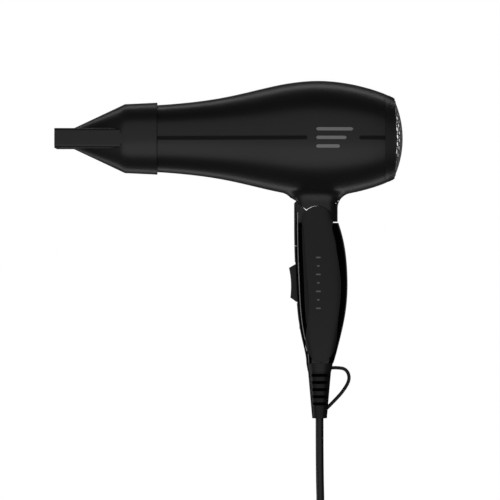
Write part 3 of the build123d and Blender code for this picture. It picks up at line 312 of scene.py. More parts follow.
def distance(tree: bpy.types.NodeTree, place: bpy.types.NodeSocket) -> bpy.types.NodeSocket:
    """Socket with the length of a vector."""
    node = add_node(tree, "ShaderNodeVectorMath", operation="LENGTH", Vector=place)
    return node.outputs["Value"]


def end_tree(tree: bpy.types.NodeTree, mesh: bpy.types.NodeSocket, finish: Finish) -> None:
    """Set the material and send the mesh to the tree's output."""
    painted = add_node(tree, "GeometryNodeSetMaterial", Geometry=mesh,
                       Material=finish.material())
    tree.links.new(painted.outputs[0], tree.nodes["Group Output"].inputs["Mesh"])


# ------------------------------------------------------------------ mesh helpers
def new_object(name: str, mesh: bpy.types.Mesh) -> bpy.types.Object:
    """Link a mesh to the scene as an object at the origin.

    Args:
        name: the object's name.
        mesh: its mesh, with its place in it.

    Returns:
        The object.
    """
    made = bpy.data.objects.new(name, mesh)
    bpy.context.scene.collection.objects.link(made)
    return made


def smooth_by_angle(mesh: bpy.types.Mesh) -> None:
    """Shade a mesh smooth, with sharp edges where its faces turn sharply."""
    mesh.shade_smooth()
    mesh.set_sharp_from_angle(angle=math.radians(SHARP_TURN))


def polished_copy(node: str, name: str) -> bpy.types.Object:
    """Copy a frame node as one welded, smoothly shaded mesh.

    Args:
        node: the frame node's name.
        name: the new piece's name.

    Returns:
        The new object, at the origin with its place in its mesh.
    """
    mesh = bpy.data.objects[node].data.copy()
    mesh.materials.clear()
    work = bmesh.new()
    work.from_mesh(mesh)
    bmesh.ops.remove_doubles(work, verts=work.verts, dist=MERGE_DISTANCE)
    bmesh.ops.dissolve_degenerate(work, edges=work.edges, dist=SLIVER_LENGTH)
    work.to_mesh(mesh)
    work.free()
    for label in ("custom_normal", "sharp_edge"):
        if label in mesh.attributes:
            mesh.attributes.remove(mesh.attributes[label])
    smooth_by_angle(mesh)
    return new_object(name, mesh)


def dress(piece: bpy.types.Object, finish: Finish, body: Body,
          replaced: Iterable[str] = ()) -> bpy.types.Object:
    """Give a piece its material and body, and hide the frame nodes it stands for.

    Args:
        piece: the finished object.
        finish: its finish.
        body: the body it rides on.
        replaced: the frame nodes that it stands for.

    Returns:
        The same object.
    """
    if not piece.data.materials:
        piece.data.materials.append(finish.material())
    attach(piece, body.value)
    if replaced:
        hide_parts(*replaced)
    LOG.info("%s rides on %s as %s", piece.name, body.value, finish.name)
    return piece


def refine(node: str, name: str, finish: Finish, body: Body) -> bpy.types.Object:
    """Stand a welded, smooth copy in for a frame node, with its finish."""
    return dress(polished_copy(node, name), finish, body, [node])


def recolour(node: str, finish: Finish) -> None:
    """Give a frame node that keeps its own mesh a better material.

    Args:
        node: the frame node's name.
        finish: its finish.
    """
    mesh = bpy.data.objects[node].data
    mesh.materials.clear()
    mesh.materials.append(finish.material())
    LOG.info("%s keeps its mesh as %s", node, finish.name)


def evaluated_mesh(holder: bpy.types.Object, name: str) -> bpy.types.Mesh:
    """Turn an object with modifiers, or a curve, into a plain mesh.

    Args:
        holder: the object, which is removed.
        name: the mesh's name.

    Returns:
        The mesh.
    """
    graph = bpy.context.evaluated_depsgraph_get()
    mesh = bpy.data.meshes.new_from_object(holder.evaluated_get(graph))
    mesh.name = name
    bpy.data.objects.remove(holder)
    return mesh


def run_tree(tree: bpy.types.NodeTree, name: str, values: Optional[dict] = None,
             base: Optional[bpy.types.Mesh] = None) -> bpy.types.Object:
    """Run a geometry tree and keep its result as a plain mesh object.

    Args:
        tree: the geometry tree.
        name: the new piece's name.
        values: input names and the values they get.
        base: a mesh to feed in, where the tree wants one.

    Returns:
        The new object, at the origin.
    """
    holder = new_object(name + "_holder", base or bpy.data.meshes.new(name + "_empty"))
    modifier = holder.modifiers.new("build", "NODES")
    modifier.node_group = tree
    for item in tree.interface.items_tree:
        if item.in_out == "INPUT" and values and item.name in values:
            modifier[item.identifier] = values[item.name]
    return new_object(name, evaluated_mesh(holder, name))


def ring_mesh(profile: list, steps: int, axis_z: float, name: str) -> bpy.types.Mesh:
    """Sweep a closed outline round an axis along X.

    Args:
        profile: (place along the axis, radius) pairs round the outline.
        steps: number of flat steps round the axis.
        axis_z: height of the axis.
        name: the mesh's name.

    Returns:
        A closed mesh.
    """
    points, faces = [], []
    for step in range(steps):
        turn = 2 * math.pi * step / steps
        for place, radius in profile:
            points.append((place, radius * math.cos(turn), axis_z + radius * math.sin(turn)))
    count = len(profile)
    for step in range(steps):
        here, after = step * count, (step + 1) % steps * count
        for corner in range(count):
            following = (corner + 1) % count
            faces.append((here + corner, here + following, after + following, after + corner))
    mesh = bpy.data.meshes.new(name)
    mesh.from_pydata(points, [], faces)
    return outward(mesh)


def outward(mesh: bpy.types.Mesh) -> bpy.types.Mesh:
    """Weld a mesh, turn its faces outwards and shade it.

    Args:
        mesh: the mesh, which is changed.

    Returns:
        The same mesh.
    """
    work = bmesh.new()
    work.from_mesh(mesh)
    bmesh.ops.remove_doubles(work, verts=work.verts, dist=MERGE_DISTANCE)
    bmesh.ops.recalc_face_normals(work, faces=work.faces)
    work.to_mesh(mesh)
    work.free()
    smooth_by_angle(mesh)
    return mesh


def joined(meshes: list, name: str) -> bpy.types.Mesh:
    """Join several meshes into one.

    Args:
        meshes: the meshes.
        name: the new mesh's name.

    Returns:
        The new mesh, shaded.
    """
    work = bmesh.new()
    for mesh in meshes:
        work.from_mesh(mesh)
    made = bpy.data.meshes.new(name)
    work.to_mesh(made)
    work.free()
    smooth_by_angle(made)
    return made


def tube(name: str, places: list, radius: float, roundness: int, steps: int) -> bpy.types.Object:
    """Lay a round tube along a smooth curve.

    Args:
        name: the object's name.
        places: control points of the curve, in millimetres.
        radius: radius of the tube.
        roundness: resolution round the tube.
        steps: resolution along the curve.

    Returns:
        The curve object.
    """
    curve = bpy.data.curves.new(name, "CURVE")
    curve.dimensions = "3D"
    curve.bevel_depth = radius
    curve.bevel_resolution = roundness
    curve.resolution_u = steps
    curve.use_fill_caps = True
    spline = curve.splines.new("NURBS")
    spline.points.add(len(places) - 1)
    for point, place in zip(spline.points, places):
        point.co = (*(value * MM for value in place), 1.0)
    spline.order_u = 3
    spline.use_endpoint_u = True
    made = bpy.data.objects.new(name, curve)
    bpy.context.scene.collection.objects.link(made)
    return made


def rounded_bar(size: tuple, centre: Vector, turn: Matrix, rounding: float) -> bpy.types.Mesh:
    """A box with bevelled edges, turned and put in its place.

    Args:
        size: lengths along its own three axes.
        centre: its middle.
        turn: its rotation.
        rounding: width of the bevel.

    Returns:
        The mesh.
    """
    work = bmesh.new()
    bmesh.ops.create_cube(work, size=1.0, matrix=Matrix.Diagonal((*size, 1.0)))
    bmesh.ops.bevel(work, geom=work.edges, offset=rounding, segments=2, affect="EDGES",
                    clamp_overlap=True)
    bmesh.ops.transform(work, matrix=Matrix.Translation(centre) @ turn.to_4x4(), verts=work.verts)
    mesh = bpy.data.meshes.new("bar")
    work.to_mesh(mesh)
    work.free()
    return mesh


class Surface:
    """Outer skin of a frame node, looked up from one side."""

    def __init__(self, node: str, side: float) -> None:
        """Keep a search tree of the node's faces.

        Args:
            node: the frame node's name.
            side: 1 or -1, for the side to look from.
        """
        mesh = bpy.data.objects[node].data
        corners = [vertex.co for vertex in mesh.vertices]
        self.tree = BVHTree.FromPolygons(corners, [tuple(face.vertices) for face in mesh.polygons])
        self.side = side

    def point(self, x: float, z: float, lift: float) -> Vector:
        """The skin's point at a place seen from the side.

        Args:
            x: place along the barrel.
            z: height.
            lift: how far the point is lifted off the skin.

        Returns:
            The point.
        """
        start = Vector((x, self.side * 1.0, z))
        hit, normal, _, _ = self.tree.ray_cast(start, Vector((0, -self.side, 0)))
        if normal.y * self.side < 0:
            normal = -normal
        return hit + normal * lift

    def patch(self, outline: list, lift: float, thickness: float, name: str) -> bpy.types.Mesh:
        """A thin printed shape laid on the skin.

        Args:
            outline: rows of (x, z) places, each row as long as the others.
            lift: height of its face above the skin.
            thickness: depth of its edge.
            name: the mesh's name.

        Returns:
            A closed plate that follows the skin.
        """
        rows, columns = len(outline), len(outline[0])
        points = [self.point(x, z, lift) for row in outline for x, z in row]
        points += [self.point(x, z, lift - thickness) for row in outline for x, z in row]
        under = rows * columns
        faces = []
        for row in range(rows - 1):
            for column in range(columns - 1):
                corner = row * columns + column
                face = (corner, corner + 1, corner + columns + 1, corner + columns)
                faces.append(face)
                faces.append(tuple(under + index for index in reversed(face)))
        rim = list(range(columns - 1))
        rim += [row * columns + columns - 1 for row in range(rows - 1)]
        rim += [(rows - 1) * columns + column for column in range(columns - 1, 0, -1)]
        rim += [row * columns for row in range(rows - 1, 0, -1)]
        for here, there in zip(rim, rim[1:] + rim[:1]):
            faces.append((here, there, under + there, under + here))
        mesh = bpy.data.meshes.new(name)
        mesh.from_pydata(points, [], faces)
        return outward(mesh)


def bar_rows(left: float, right: float, middle: float, height: float, steps: int) -> list:
    """Rows of places for a bar with round ends, along X.

    Args:
        left: its left end.
        right: its right end.
        middle: height of its centre line.
        height: its thickness.
        steps: number of steps along it.

    Returns:
        Three rows of (x, z) places: low, middle and high.
    """
    rows = []
    radius = height / 2
    blunt_end = BAR_END_SHARE * radius
    for share in (-1.0, 0.0, 1.0):
        row = []
        for step in range(steps + 1):
            x = left + (right - left) * step / steps
            inset = min(x - left, right - x)
            reach = radius
            if inset < radius:
                reach = math.sqrt(max(radius**2 - (radius - inset) ** 2, blunt_end**2))
            row.append((x, middle + share * reach))
        rows.append(row)
    return rows


# ------------------------------------------------------------------ sub-assemblies
@dataclass
class BarrelShells:
    """Both barrel halves with their inlays, screws and printed mark."""

    mark_x: tuple = (-1.3 * MM, 25.4 * MM)
    mark_half_height: float = 6.2 * MM
    mark_bars: int = 3
    bar_height: float = 2.4 * MM
    bar_steps: int = 24
    shortening: float = 0.18
    print_lift: float = 0.03 * MM
    cross_length: float = 3.2 * MM
    cross_width: float = 0.7 * MM
    cross_depth: float = 0.06 * MM
    cross_edge: float = 0.02 * MM
    cross_lift: float = 0.01 * MM
    screw_places: list = field(default_factory=lambda: [
        (-60.0 * MM, 26.6 * MM), (36.0 * MM, 31.4 * MM),
        (-60.0 * MM, -26.6 * MM), (36.0 * MM, -31.4 * MM)])

    def build(self) -> None:
        """Build every piece of the shells."""
        refine("barrel_shell_left", "left_barrel_skin", SOFT_TOUCH, Body.BARREL)
        refine("barrel_shell_right", "right_barrel_skin", SOFT_TOUCH, Body.BARREL)
        refine("side_stripes", "inlay_strips", STRIPE, Body.BARREL)
        self.printed_mark()
        self.screw_heads()

    def printed_mark(self) -> None:
        """Three airflow bars of falling length on each side of the barrel."""
        left, right = self.mark_x
        pitch = 2 * self.mark_half_height / (self.mark_bars - 1)
        meshes = []
        for node, side in (("barrel_shell_left", -1.0), ("barrel_shell_right", 1.0)):
            skin = Surface(node, side)
            for bar in range(self.mark_bars):
                height = AXIS_Z + self.mark_half_height - bar * pitch
                end = right - bar * self.shortening * (right - left)
                rows = bar_rows(left, end, height, self.bar_height, self.bar_steps)
                meshes.append(skin.patch(rows, self.print_lift, 2 * self.print_lift, "mark_bar"))
        dress(new_object("barrel_mark", joined(meshes, "barrel_mark")), PRINT, Body.BARREL)

    def screw_heads(self) -> None:
        """Domed screw heads from the frame, each with a flat dark cross on it as painted shade for
        its recessed cross slot.
        """
        refine("barrel_screws", "barrel_fixings", STEEL, Body.BARREL)
        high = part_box("barrel_screws")[1]
        meshes = []
        for x, rise in self.screw_places:
            for turn in (0.0, 90.0):
                place = Vector((x, high[1] + self.cross_lift, AXIS_Z + rise))
                spin = Matrix.Rotation(math.radians(turn), 3, "Y")
                size = (self.cross_length, self.cross_depth, self.cross_width)
                meshes.append(rounded_bar(size, place, spin, self.cross_edge))
        # Painted shade: the dark crosses stand in for the shadow inside each screw's cross slot.
        dress(new_object("barrel_screw_slots", joined(meshes, "slots")), DARK, Body.BARREL)


@dataclass
class RearCover:
    """Rear ring, its grip ribs, the honeycomb grille and the dust filter."""

    rim_x: float = 56.4 * MM
    rim_radius: float = 29.4 * MM
    dome_height: float = 6.0 * MM
    pitch: float = 5.4 * MM
    rib: float = 0.66 * MM
    rib_depth: float = 0.7 * MM
    chamfer: float = 0.22 * MM
    edge_radius: float = 28.0 * MM
    border: float = 1.1 * MM
    band_crest: float = 0.25 * MM
    ring_front: float = 49.3 * MM
    ring_front_radius: float = 32.7 * MM
    finger_ribs: int = 72
    finger_rib_size: tuple = (4.2 * MM, 0.7 * MM, 0.36 * MM)
    finger_rib_edge: float = 0.12 * MM
    finger_rib_share: float = 0.62
    # Flat dark ring in the barrel-to-ring seam: painted shade for the shadow in the seam.
    shade_ring_x: tuple = (48.95 * MM, 49.25 * MM)
    shade_ring_radius: tuple = (30.2 * MM, 32.3 * MM)

    @property
    def sphere(self) -> float:
        """Radius of the dome's sphere."""
        return (self.edge_radius**2 + self.dome_height**2) / (2 * self.dome_height)

    def build(self) -> None:
        """Build the cover's pieces."""
        refine("rear_ring", "cover_ring", SATIN, Body.COVER)
        self.shade_seam_ring()
        refine("dust_filter", "filter_gauze", MESH, Body.COVER)
        self.ring_ribs()
        self.honeycomb()

    def shade_seam_ring(self) -> None:
        """Flat dark ring in the seam between the barrel and the ring, as painted shade: it stands
        in for the shadow in that seam and closes the gap.
        """
        (front, rear), (inner, outer) = self.shade_ring_x, self.shade_ring_radius
        outline = [(front, inner), (rear, inner), (rear, outer), (front, outer)]
        mesh = ring_mesh(outline, ROUND_STEPS, AXIS_Z, "cover_seal")
        dress(new_object("cover_seal", mesh), INNER, Body.COVER)

    def dome_x(self, radius: float) -> float:
        """Place along the barrel of the dome's outer face, at a distance from the axis."""
        drop = self.sphere - math.sqrt(self.sphere**2 - radius**2)
        return self.rim_x + self.dome_height - drop

    def hexagon_cell(self) -> bpy.types.Mesh:
        """One six-sided cell wall at the origin, with a chamfered front edge.

        Returns:
            A closed mesh.
        """
        outer = self.pitch / 2
        inner = outer - self.rib / 2
        outline = [
            (outer, -self.rib_depth), (outer, -self.chamfer / 2),
            (outer - CREST_SHARE * self.rib, 0.0), (inner + self.chamfer / 2, 0.0),
            (inner, -self.chamfer), (inner, -self.rib_depth),
        ]
        to_corner = math.cos(math.pi / CELL_SIDES)
        points, faces = [], []
        for corner in range(CELL_SIDES):
            turn = 2 * math.pi * corner / CELL_SIDES
            for reach, depth in outline:
                radius = reach / to_corner
                points.append((depth, radius * math.cos(turn), radius * math.sin(turn)))
        count = len(outline)
        for corner in range(CELL_SIDES):
            here, after = corner * count, (corner + 1) % CELL_SIDES * count
            for step in range(count):
                following = (step + 1) % count
                faces.append((here + step, here + following, after + following, after + step))
        mesh = bpy.data.meshes.new("cell_wall")
        mesh.from_pydata(points, [], faces)
        return outward(mesh)

    def honeycomb_tree(self) -> bpy.types.NodeTree:
        """Geometry tree that spreads one cell over the dome and clips it at the rim.

        Returns:
            The tree, with the grille's sizes as its inputs.
        """
        tree = new_group("honeycomb", "GeometryNodeTree", {
            "Cell": ("NodeSocketGeometry", None), "Pitch": (NUMBER, self.pitch),
            "Reach": (NUMBER, self.edge_radius), "Edge": (NUMBER, self.edge_radius),
            "Sphere": (NUMBER, self.sphere), "Apex": (NUMBER, self.rim_x + self.dome_height),
            "Axis Height": (NUMBER, AXIS_Z),
        }, {"Mesh": "NodeSocketGeometry"})
        source = tree.nodes["Group Input"].outputs
        pitch = source["Pitch"]
        rows = 2 * int(self.edge_radius / (self.pitch * ROW_SHARE)) + SPARE_CELLS
        columns = 2 * int(self.edge_radius / self.pitch) + SPARE_CELLS
        grid = add_node(tree, "GeometryNodeMeshGrid", Vertices_X=rows, Vertices_Y=columns,
                        Size_X=math_node(tree, "MULTIPLY", pitch, ROW_SHARE * (rows - 1)),
                        Size_Y=math_node(tree, "MULTIPLY", pitch, float(columns - 1)))
        index = tree.nodes.new("GeometryNodeInputIndex").outputs[0]
        row = math_node(tree, "FLOOR", math_node(tree, "DIVIDE", index, float(columns)))
        odd = math_node(tree, "MODULO", row, 2.0)
        shift = math_node(tree, "MULTIPLY", odd, math_node(tree, "MULTIPLY", pitch, 0.5))
        flat = place_parts(tree)
        turned = add_node(tree, "ShaderNodeCombineXYZ", Y=flat["X"],
                          Z=math_node(tree, "ADD", flat["Y"], shift))
        moved = add_node(tree, "GeometryNodeSetPosition", Geometry=grid.outputs["Mesh"],
                         Position=turned.outputs[0])
        here = tree.nodes.new("GeometryNodeInputPosition").outputs[0]
        outside = math_node(tree, "GREATER_THAN", distance(tree, here), source["Reach"])
        kept = add_node(tree, "GeometryNodeDeleteGeometry", Geometry=moved.outputs[0],
                        Selection=outside)
        spread = add_node(tree, "GeometryNodeInstanceOnPoints", Points=kept.outputs[0],
                          Instance=source["Cell"])
        real = add_node(tree, "GeometryNodeRealizeInstances", Geometry=spread.outputs[0])
        self.dome_stage(tree, real.outputs[0])
        return tree

    def dome_stage(self, tree: bpy.types.NodeTree, mesh: bpy.types.NodeSocket) -> None:
        """Clip the flat honeycomb at the rim, bend it over the dome and set its material.

        Args:
            tree: the tree that gets the nodes.
            mesh: the socket with the flat honeycomb.
        """
        source = tree.nodes["Group Input"].outputs
        sphere = source["Sphere"]
        flat = place_parts(tree)
        across = add_node(tree, "ShaderNodeCombineXYZ", Y=flat["Y"], Z=flat["Z"])
        radius = math_node(tree, "MAXIMUM", distance(tree, across.outputs[0]), SMALLEST)
        share = math_node(tree, "DIVIDE", source["Edge"], radius)
        shrink = math_node(tree, "MINIMUM", 1.0, share)
        clipped = math_node(tree, "MULTIPLY", radius, shrink)
        square = math_node(tree, "MULTIPLY", clipped, clipped)
        ball = math_node(tree, "MULTIPLY", sphere, sphere)
        rise = math_node(tree, "SQRT", math_node(tree, "SUBTRACT", ball, square))
        drop = math_node(tree, "SUBTRACT", sphere, rise)
        front = math_node(tree, "SUBTRACT", source["Apex"], drop)
        z = math_node(tree, "MULTIPLY", flat["Z"], shrink)
        final = add_node(tree, "ShaderNodeCombineXYZ", X=math_node(tree, "ADD", front, flat["X"]),
                         Y=math_node(tree, "MULTIPLY", flat["Y"], shrink),
                         Z=math_node(tree, "ADD", z, source["Axis Height"]))
        bent = add_node(tree, "GeometryNodeSetPosition", Geometry=mesh,
                        Position=final.outputs[0])
        end_tree(tree, bent.outputs[0], GRILLE)

    def honeycomb(self) -> None:
        """Honeycomb intake grille with its border band."""
        cells = run_tree(self.honeycomb_tree(), "honeycomb_cells", {
            "Pitch": self.pitch, "Reach": self.edge_radius + CELL_SPILL * self.pitch,
            "Edge": self.edge_radius - CELL_TUCK * self.border, "Sphere": self.sphere,
            "Apex": self.rim_x + self.dome_height, "Axis Height": AXIS_Z,
        }, self.hexagon_cell())
        outer, inner = self.edge_radius, self.edge_radius - self.border
        band = ring_mesh([
            (self.dome_x(outer), outer),
            (self.dome_x(inner) + self.band_crest, inner + BAND_CREST_SHARE * self.border),
            (self.dome_x(inner), inner),
            (self.dome_x(inner) - self.rib_depth, inner),
            (self.dome_x(outer) - self.rib_depth, outer),
        ], ROUND_STEPS, AXIS_Z, "grille_band")
        whole = joined([cells.data, band], "honeycomb_grille")
        whole.materials.clear()
        bpy.data.objects.remove(cells)
        dress(new_object("honeycomb_grille", whole), GRILLE, Body.COVER, ["intake_grille"])

    def rib_tree(self) -> bpy.types.NodeTree:
        """Geometry tree that turns one rib round the barrel's axis.

        Returns:
            The tree, with the number of ribs and the axis height as its inputs.
        """
        tree = new_group("finger_ribs", "GeometryNodeTree", {
            "Rib": ("NodeSocketGeometry", None), "Count": ("NodeSocketInt", self.finger_ribs),
            "Axis Height": (NUMBER, AXIS_Z),
        }, {"Mesh": "NodeSocketGeometry"})
        source = tree.nodes["Group Input"].outputs
        axis = add_node(tree, "ShaderNodeCombineXYZ", Z=source["Axis Height"])
        points = add_node(tree, "GeometryNodePoints", Count=source["Count"],
                          Position=axis.outputs[0])
        index = tree.nodes.new("GeometryNodeInputIndex").outputs[0]
        share = math_node(tree, "DIVIDE", index, source["Count"])
        turn = add_node(tree, "ShaderNodeCombineXYZ",
                        X=math_node(tree, "MULTIPLY", share, -2 * math.pi))
        rotation = add_node(tree, "FunctionNodeEulerToRotation", Euler=turn.outputs[0])
        spread = add_node(tree, "GeometryNodeInstanceOnPoints", Points=points.outputs[0],
                          Instance=source["Rib"], Rotation=rotation.outputs[0])
        real = add_node(tree, "GeometryNodeRealizeInstances", Geometry=spread.outputs[0])
        end_tree(tree, real.outputs[0], SATIN)
        return tree

    def ring_ribs(self) -> None:
        """Short ribs round the rear edge of the ring, for the fingers."""
        run = self.rim_x - self.ring_front
        fall = self.ring_front_radius - self.rim_radius
        place = Vector((self.ring_front + self.finger_rib_share * run, 0.0,
                        self.ring_front_radius - self.finger_rib_share * fall))
        lean = Matrix.Rotation(math.atan2(fall, run), 3, "Y")
        rib = rounded_bar(self.finger_rib_size, place, lean, self.finger_rib_edge)
        ribs = run_tree(self.rib_tree(), "cover_ribs",
                        {"Count": self.finger_ribs, "Axis Height": AXIS_Z}, rib)
        smooth_by_angle(ribs.data)
        dress(ribs, SATIN, Body.COVER)


@dataclass
class Airway:
    """Nozzle and nose grid, and the finishes of every piece inside the dryer."""

    finishes: tuple = (
        (MICA, ("mica_sleeve", "mica_boards")),
        (WIRE, ("heater_coils",)),
        (STEEL, ("thermostat", "thermal_fuse", "motor_can", "motor_armature", "rocker_pin",
                 "grip_screws", "hinge_pin")),
        (INNER, ("air_guide", "fan_duct", "motor_end_cap", "fan", "switch_body",
                 "selector_switch", "grip_chassis", "cord_clamp")),
        (FERRITE, ("motor_magnets",)),
        (BOARD, ("rectifier_board",)),
        (DARK, ("diodes",)),
        (BRASS, ("hinge_bushes", "switch_terminals")),
        (CORD, ("grip_leads",)),
    )

    def build(self) -> None:
        """Build the nozzle and its grid, and give every inner piece its finish."""
        refine("nozzle", "concentrator", SATIN, Body.NOZZLE)
        refine("outlet_grille", "nose_grid", INNER, Body.BARREL)
        for finish, nodes in self.finishes:
            for node in nodes:
                recolour(node, finish)


@dataclass
class Grip:
    """Folding grip: gloss shells, matte side panels, rocker, dial and printed column."""

    panel_x: float = 0.6 * MM
    column_top: float = 24.0 * MM
    column_bottom: float = -13.0 * MM
    column_marks: int = 7
    mark_width: float = 3.6 * MM
    mark_height: float = 1.1 * MM
    mark_steps: int = 12
    short_share: float = 0.55
    lift: float = 0.03 * MM
    liner_size: tuple = (11.0 * MM, 1.2 * MM, 3.0 * MM)
    liner_inset: float = 1.6 * MM
    liner_edge: float = 0.3 * MM
    cheek_turn: float = 0.8
    cheek_bottom: float = 50.0 * MM

    def build(self) -> None:
        """Build the grip's pieces."""
        self.knuckle()
        refine("grip_rear_shell", "rear_gloss_shell", GLOSS, Body.GRIP)
        refine("grip_front_shell", "front_gloss_shell", GLOSS, Body.GRIP)
        refine("side_panel_left", "left_matte_panel", PANEL, Body.GRIP)
        refine("side_panel_right", "right_matte_panel", PANEL, Body.GRIP)
        refine("rocker", "rocker_key", PANEL, Body.ROCKER)
        refine("selector_dial", "voltage_dial", PANEL, Body.SELECTOR)
        self.printed_column()
        self.seam_liner()

    def seam_liner(self) -> None:
        """Rib inside the grip that closes the view through its front seam."""
        low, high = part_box("grip_front_shell")
        place = Vector((low[0] + 0.5 * self.liner_size[0] + self.liner_inset, 0.0, high[2]))
        bar = rounded_bar(self.liner_size, place, Matrix.Identity(3), self.liner_edge)
        dress(new_object("seam_rib", joined([bar], "seam_rib")), INNER, Body.GRIP)

    def knuckle(self) -> None:
        """Gloss knuckle whose flat cheeks above the grip are matte like the neck."""
        piece = refine("hinge_knuckle", "knuckle", GLOSS, Body.GRIP)
        mesh = piece.data
        mesh.materials.append(SOFT_TOUCH.material())
        for face in mesh.polygons:
            if abs(face.normal.y) > self.cheek_turn and face.center.z > self.cheek_bottom:
                face.material_index = 1

    def printed_column(self) -> None:
        """Column of small bars of changing width on each side panel."""
        pitch = (self.column_top - self.column_bottom) / (self.column_marks - 1)
        meshes = []
        for node, side in (("side_panel_left", -1.0), ("side_panel_right", 1.0)):
            skin = Surface(node, side)
            for mark in range(self.column_marks):
                width = self.mark_width * (1.0 if mark % 2 == 0 else self.short_share)
                rows = bar_rows(self.panel_x - width / 2, self.panel_x + width / 2,
                                self.column_top - mark * pitch, self.mark_height,
                                self.mark_steps)
                meshes.append(skin.patch(rows, self.lift, 2 * self.lift, "column_bar"))
        dress(new_object("panel_marks", joined(meshes, "panel_marks")), PRINT_DIM, Body.GRIP)


@dataclass
class CordEntry:
    """Collar, slotted boot and hanging loop under the grip."""

    seam_height: float = -53.28 * MM
    seat_size: tuple = (15.0 * MM, 13.0 * MM, 1.0 * MM)
    seat_edge: float = 0.3 * MM
    loop_radius: float = 1.25 * MM
    loop_points: list = field(default_factory=lambda: [
        (8.0, -56.75), (15.0, -56.35), (21.5, -57.75), (23.9, -64.35), (20.6, -71.35),
        (14.4, -78.95), (5.0, -88.15)])
    slot_floor: float = 4.1 * MM
    floor_turn: float = 0.9
    slot_top: float = -60.5 * MM
    slot_bottom: float = -86.5 * MM

    def loop(self) -> None:
        """Rubber hanging loop from the collar round to the boot, as a smooth tube."""
        line = [(x, 0.0, z) for x, z in self.loop_points]
        mesh = evaluated_mesh(tube("loop_holder", line, self.loop_radius, 4, 12), "loop")
        mesh.materials.clear()
        dress(new_object("loop", outward(mesh)), RUBBER, Body.GRIP, ["hanging_loop"])

    def paint_slot_shade(self, boot: bpy.types.Object) -> None:
        """Paint shade on the floors of the boot's slots, as a near-black matte material that
        stands in for the shadow in these recesses.

        Args:
            boot: the boot, whose faces get a second material.
        """
        mesh = boot.data
        # Painted shade: the level faces deep in the slots get the near-black material in place of
        # their shadow.
        mesh.materials.append(PAINTED_SLOT_SHADE.material())
        for face in mesh.polygons:
            level = abs(face.normal.y) > self.floor_turn
            inside = level and abs(face.center.y) < self.slot_floor
            if inside and self.slot_bottom < face.center.z < self.slot_top:
                face.material_index = 1

    def build(self) -> None:
        """Build the cord entry's pieces."""
        refine("grip_collar", "collar", PANEL, Body.GRIP)
        boot = refine("strain_relief", "slotted_boot", RUBBER, Body.GRIP)
        self.paint_slot_shade(boot)
        self.loop()
        low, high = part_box("grip_collar")
        place = Vector(((low[0] + high[0]) / 2, 0.0, self.seam_height))
        bar = rounded_bar(self.seat_size, place, Matrix.Identity(3), self.seat_edge)
        dress(new_object("collar_seat", joined([bar], "collar_seat")), INNER, Body.GRIP)
        refine("cord_tail", "inner_cord", CORD, Body.GRIP)


@dataclass
class MainsCord:
    """Free cord from the boot down into a tied coil, with its plug.

    The route, the coil's centre and its radius are in millimetres. The turns of the coil
    lie a diameter apart in a bundle of three by three cells, counted from its middle.
    """

    diameter: float = 5.8 * MM
    length: float = 1.8
    route: list = field(default_factory=lambda: [
        (1.7, 0.0, -93.45), (1.7, 0.0, -133.0), (2.9, 0.0, -171.0), (-19.0, 0.0, -194.5),
        (-51.0, 0.0, -199.0)])
    plug_route: list = field(default_factory=lambda: [
        (-51.0, 64.0, -207.6), (-28.0, 67.0, -204.6), (-6.0, 67.0, -204.6)])
    coil_centre: tuple = (-51.0, 32.0)
    mean_radius: float = 32.0
    layer_middle: float = -202.8
    steps_per_turn: int = 16
    cells: list = field(default_factory=lambda: [
        (0, 1), (-1, 1), (-1, 0), (0, 0), (1, 0), (1, -1), (0, -1), (-1, -1)])
    half_turns: int = 15
    crossing: float = 0.2

    def coil_points(self) -> list:
        """Points along the coil's turns, each turn in its own cell of the bundle.

        Returns:
            The points, in millimetres. The last share of each turn crosses to the next cell.
        """
        pitch = self.diameter / MM
        total = self.half_turns * self.steps_per_turn // 2
        points = []
        for step in range(1, total):
            turns = step / self.steps_per_turn
            cell = min(int(turns), len(self.cells) - 1)
            following = self.cells[min(cell + 1, len(self.cells) - 1)]
            ease = max(0.0, (turns - cell - (1 - self.crossing)) / self.crossing)
            side = self.cells[cell][0] * (1 - ease) + following[0] * ease
            layer = self.cells[cell][1] * (1 - ease) + following[1] * ease
            left = (total - step) / self.steps_per_turn
            side *= min(1.0, left / self.crossing)
            radius = self.mean_radius + side * pitch
            angle = -math.pi / 2 - 2 * math.pi * turns
            points.append((self.coil_centre[0] + radius * math.cos(angle),
                           self.coil_centre[1] + radius * math.sin(angle),
                           self.layer_middle + layer * pitch))
        return points

    def build(self) -> None:
        places = self.route + self.coil_points() + self.plug_route
        cord = tube("mains_lead", places, self.diameter / 2, 5, 4)
        cord.data.materials.append(CORD.material())
        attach(cord, Body.GRIP.value)
        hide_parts("mains_cord", "cord_coil", "plug_lead")
        tie = refine("coil_tie", "bundle_tie", CORD, Body.GRIP)
        plug = refine("plug_body", "plug_moulding", PLUG, Body.GRIP)
        pins = refine("plug_pins", "plug_contacts", BRASS, Body.GRIP)
        LOG.info("mains_lead laid through %d points", len(places))


@dataclass(frozen=True)
class Lamp:
    """A soft rectangular lamp, hidden from the camera.

    Attributes:
        name: the lamp's name.
        place: where it stands.
        target: the point it is aimed at.
        size: its width and height.
        power: its power in watts.
    """

    name: str
    place: tuple
    target: tuple
    size: tuple
    power: float

    def build(self) -> None:
        """Add the lamp to the scene."""
        light = bpy.data.lights.new(self.name, "AREA")
        light.shape = "RECTANGLE"
        light.size, light.size_y = self.size
        light.energy = self.power
        holder = bpy.data.objects.new(self.name, light)
        holder.location = self.place
        holder.visible_camera = False
        aim = Vector(self.target) - Vector(self.place)
        holder.rotation_euler = aim.to_track_quat("-Z", "Y").to_euler()
        bpy.context.scene.collection.objects.link(holder)


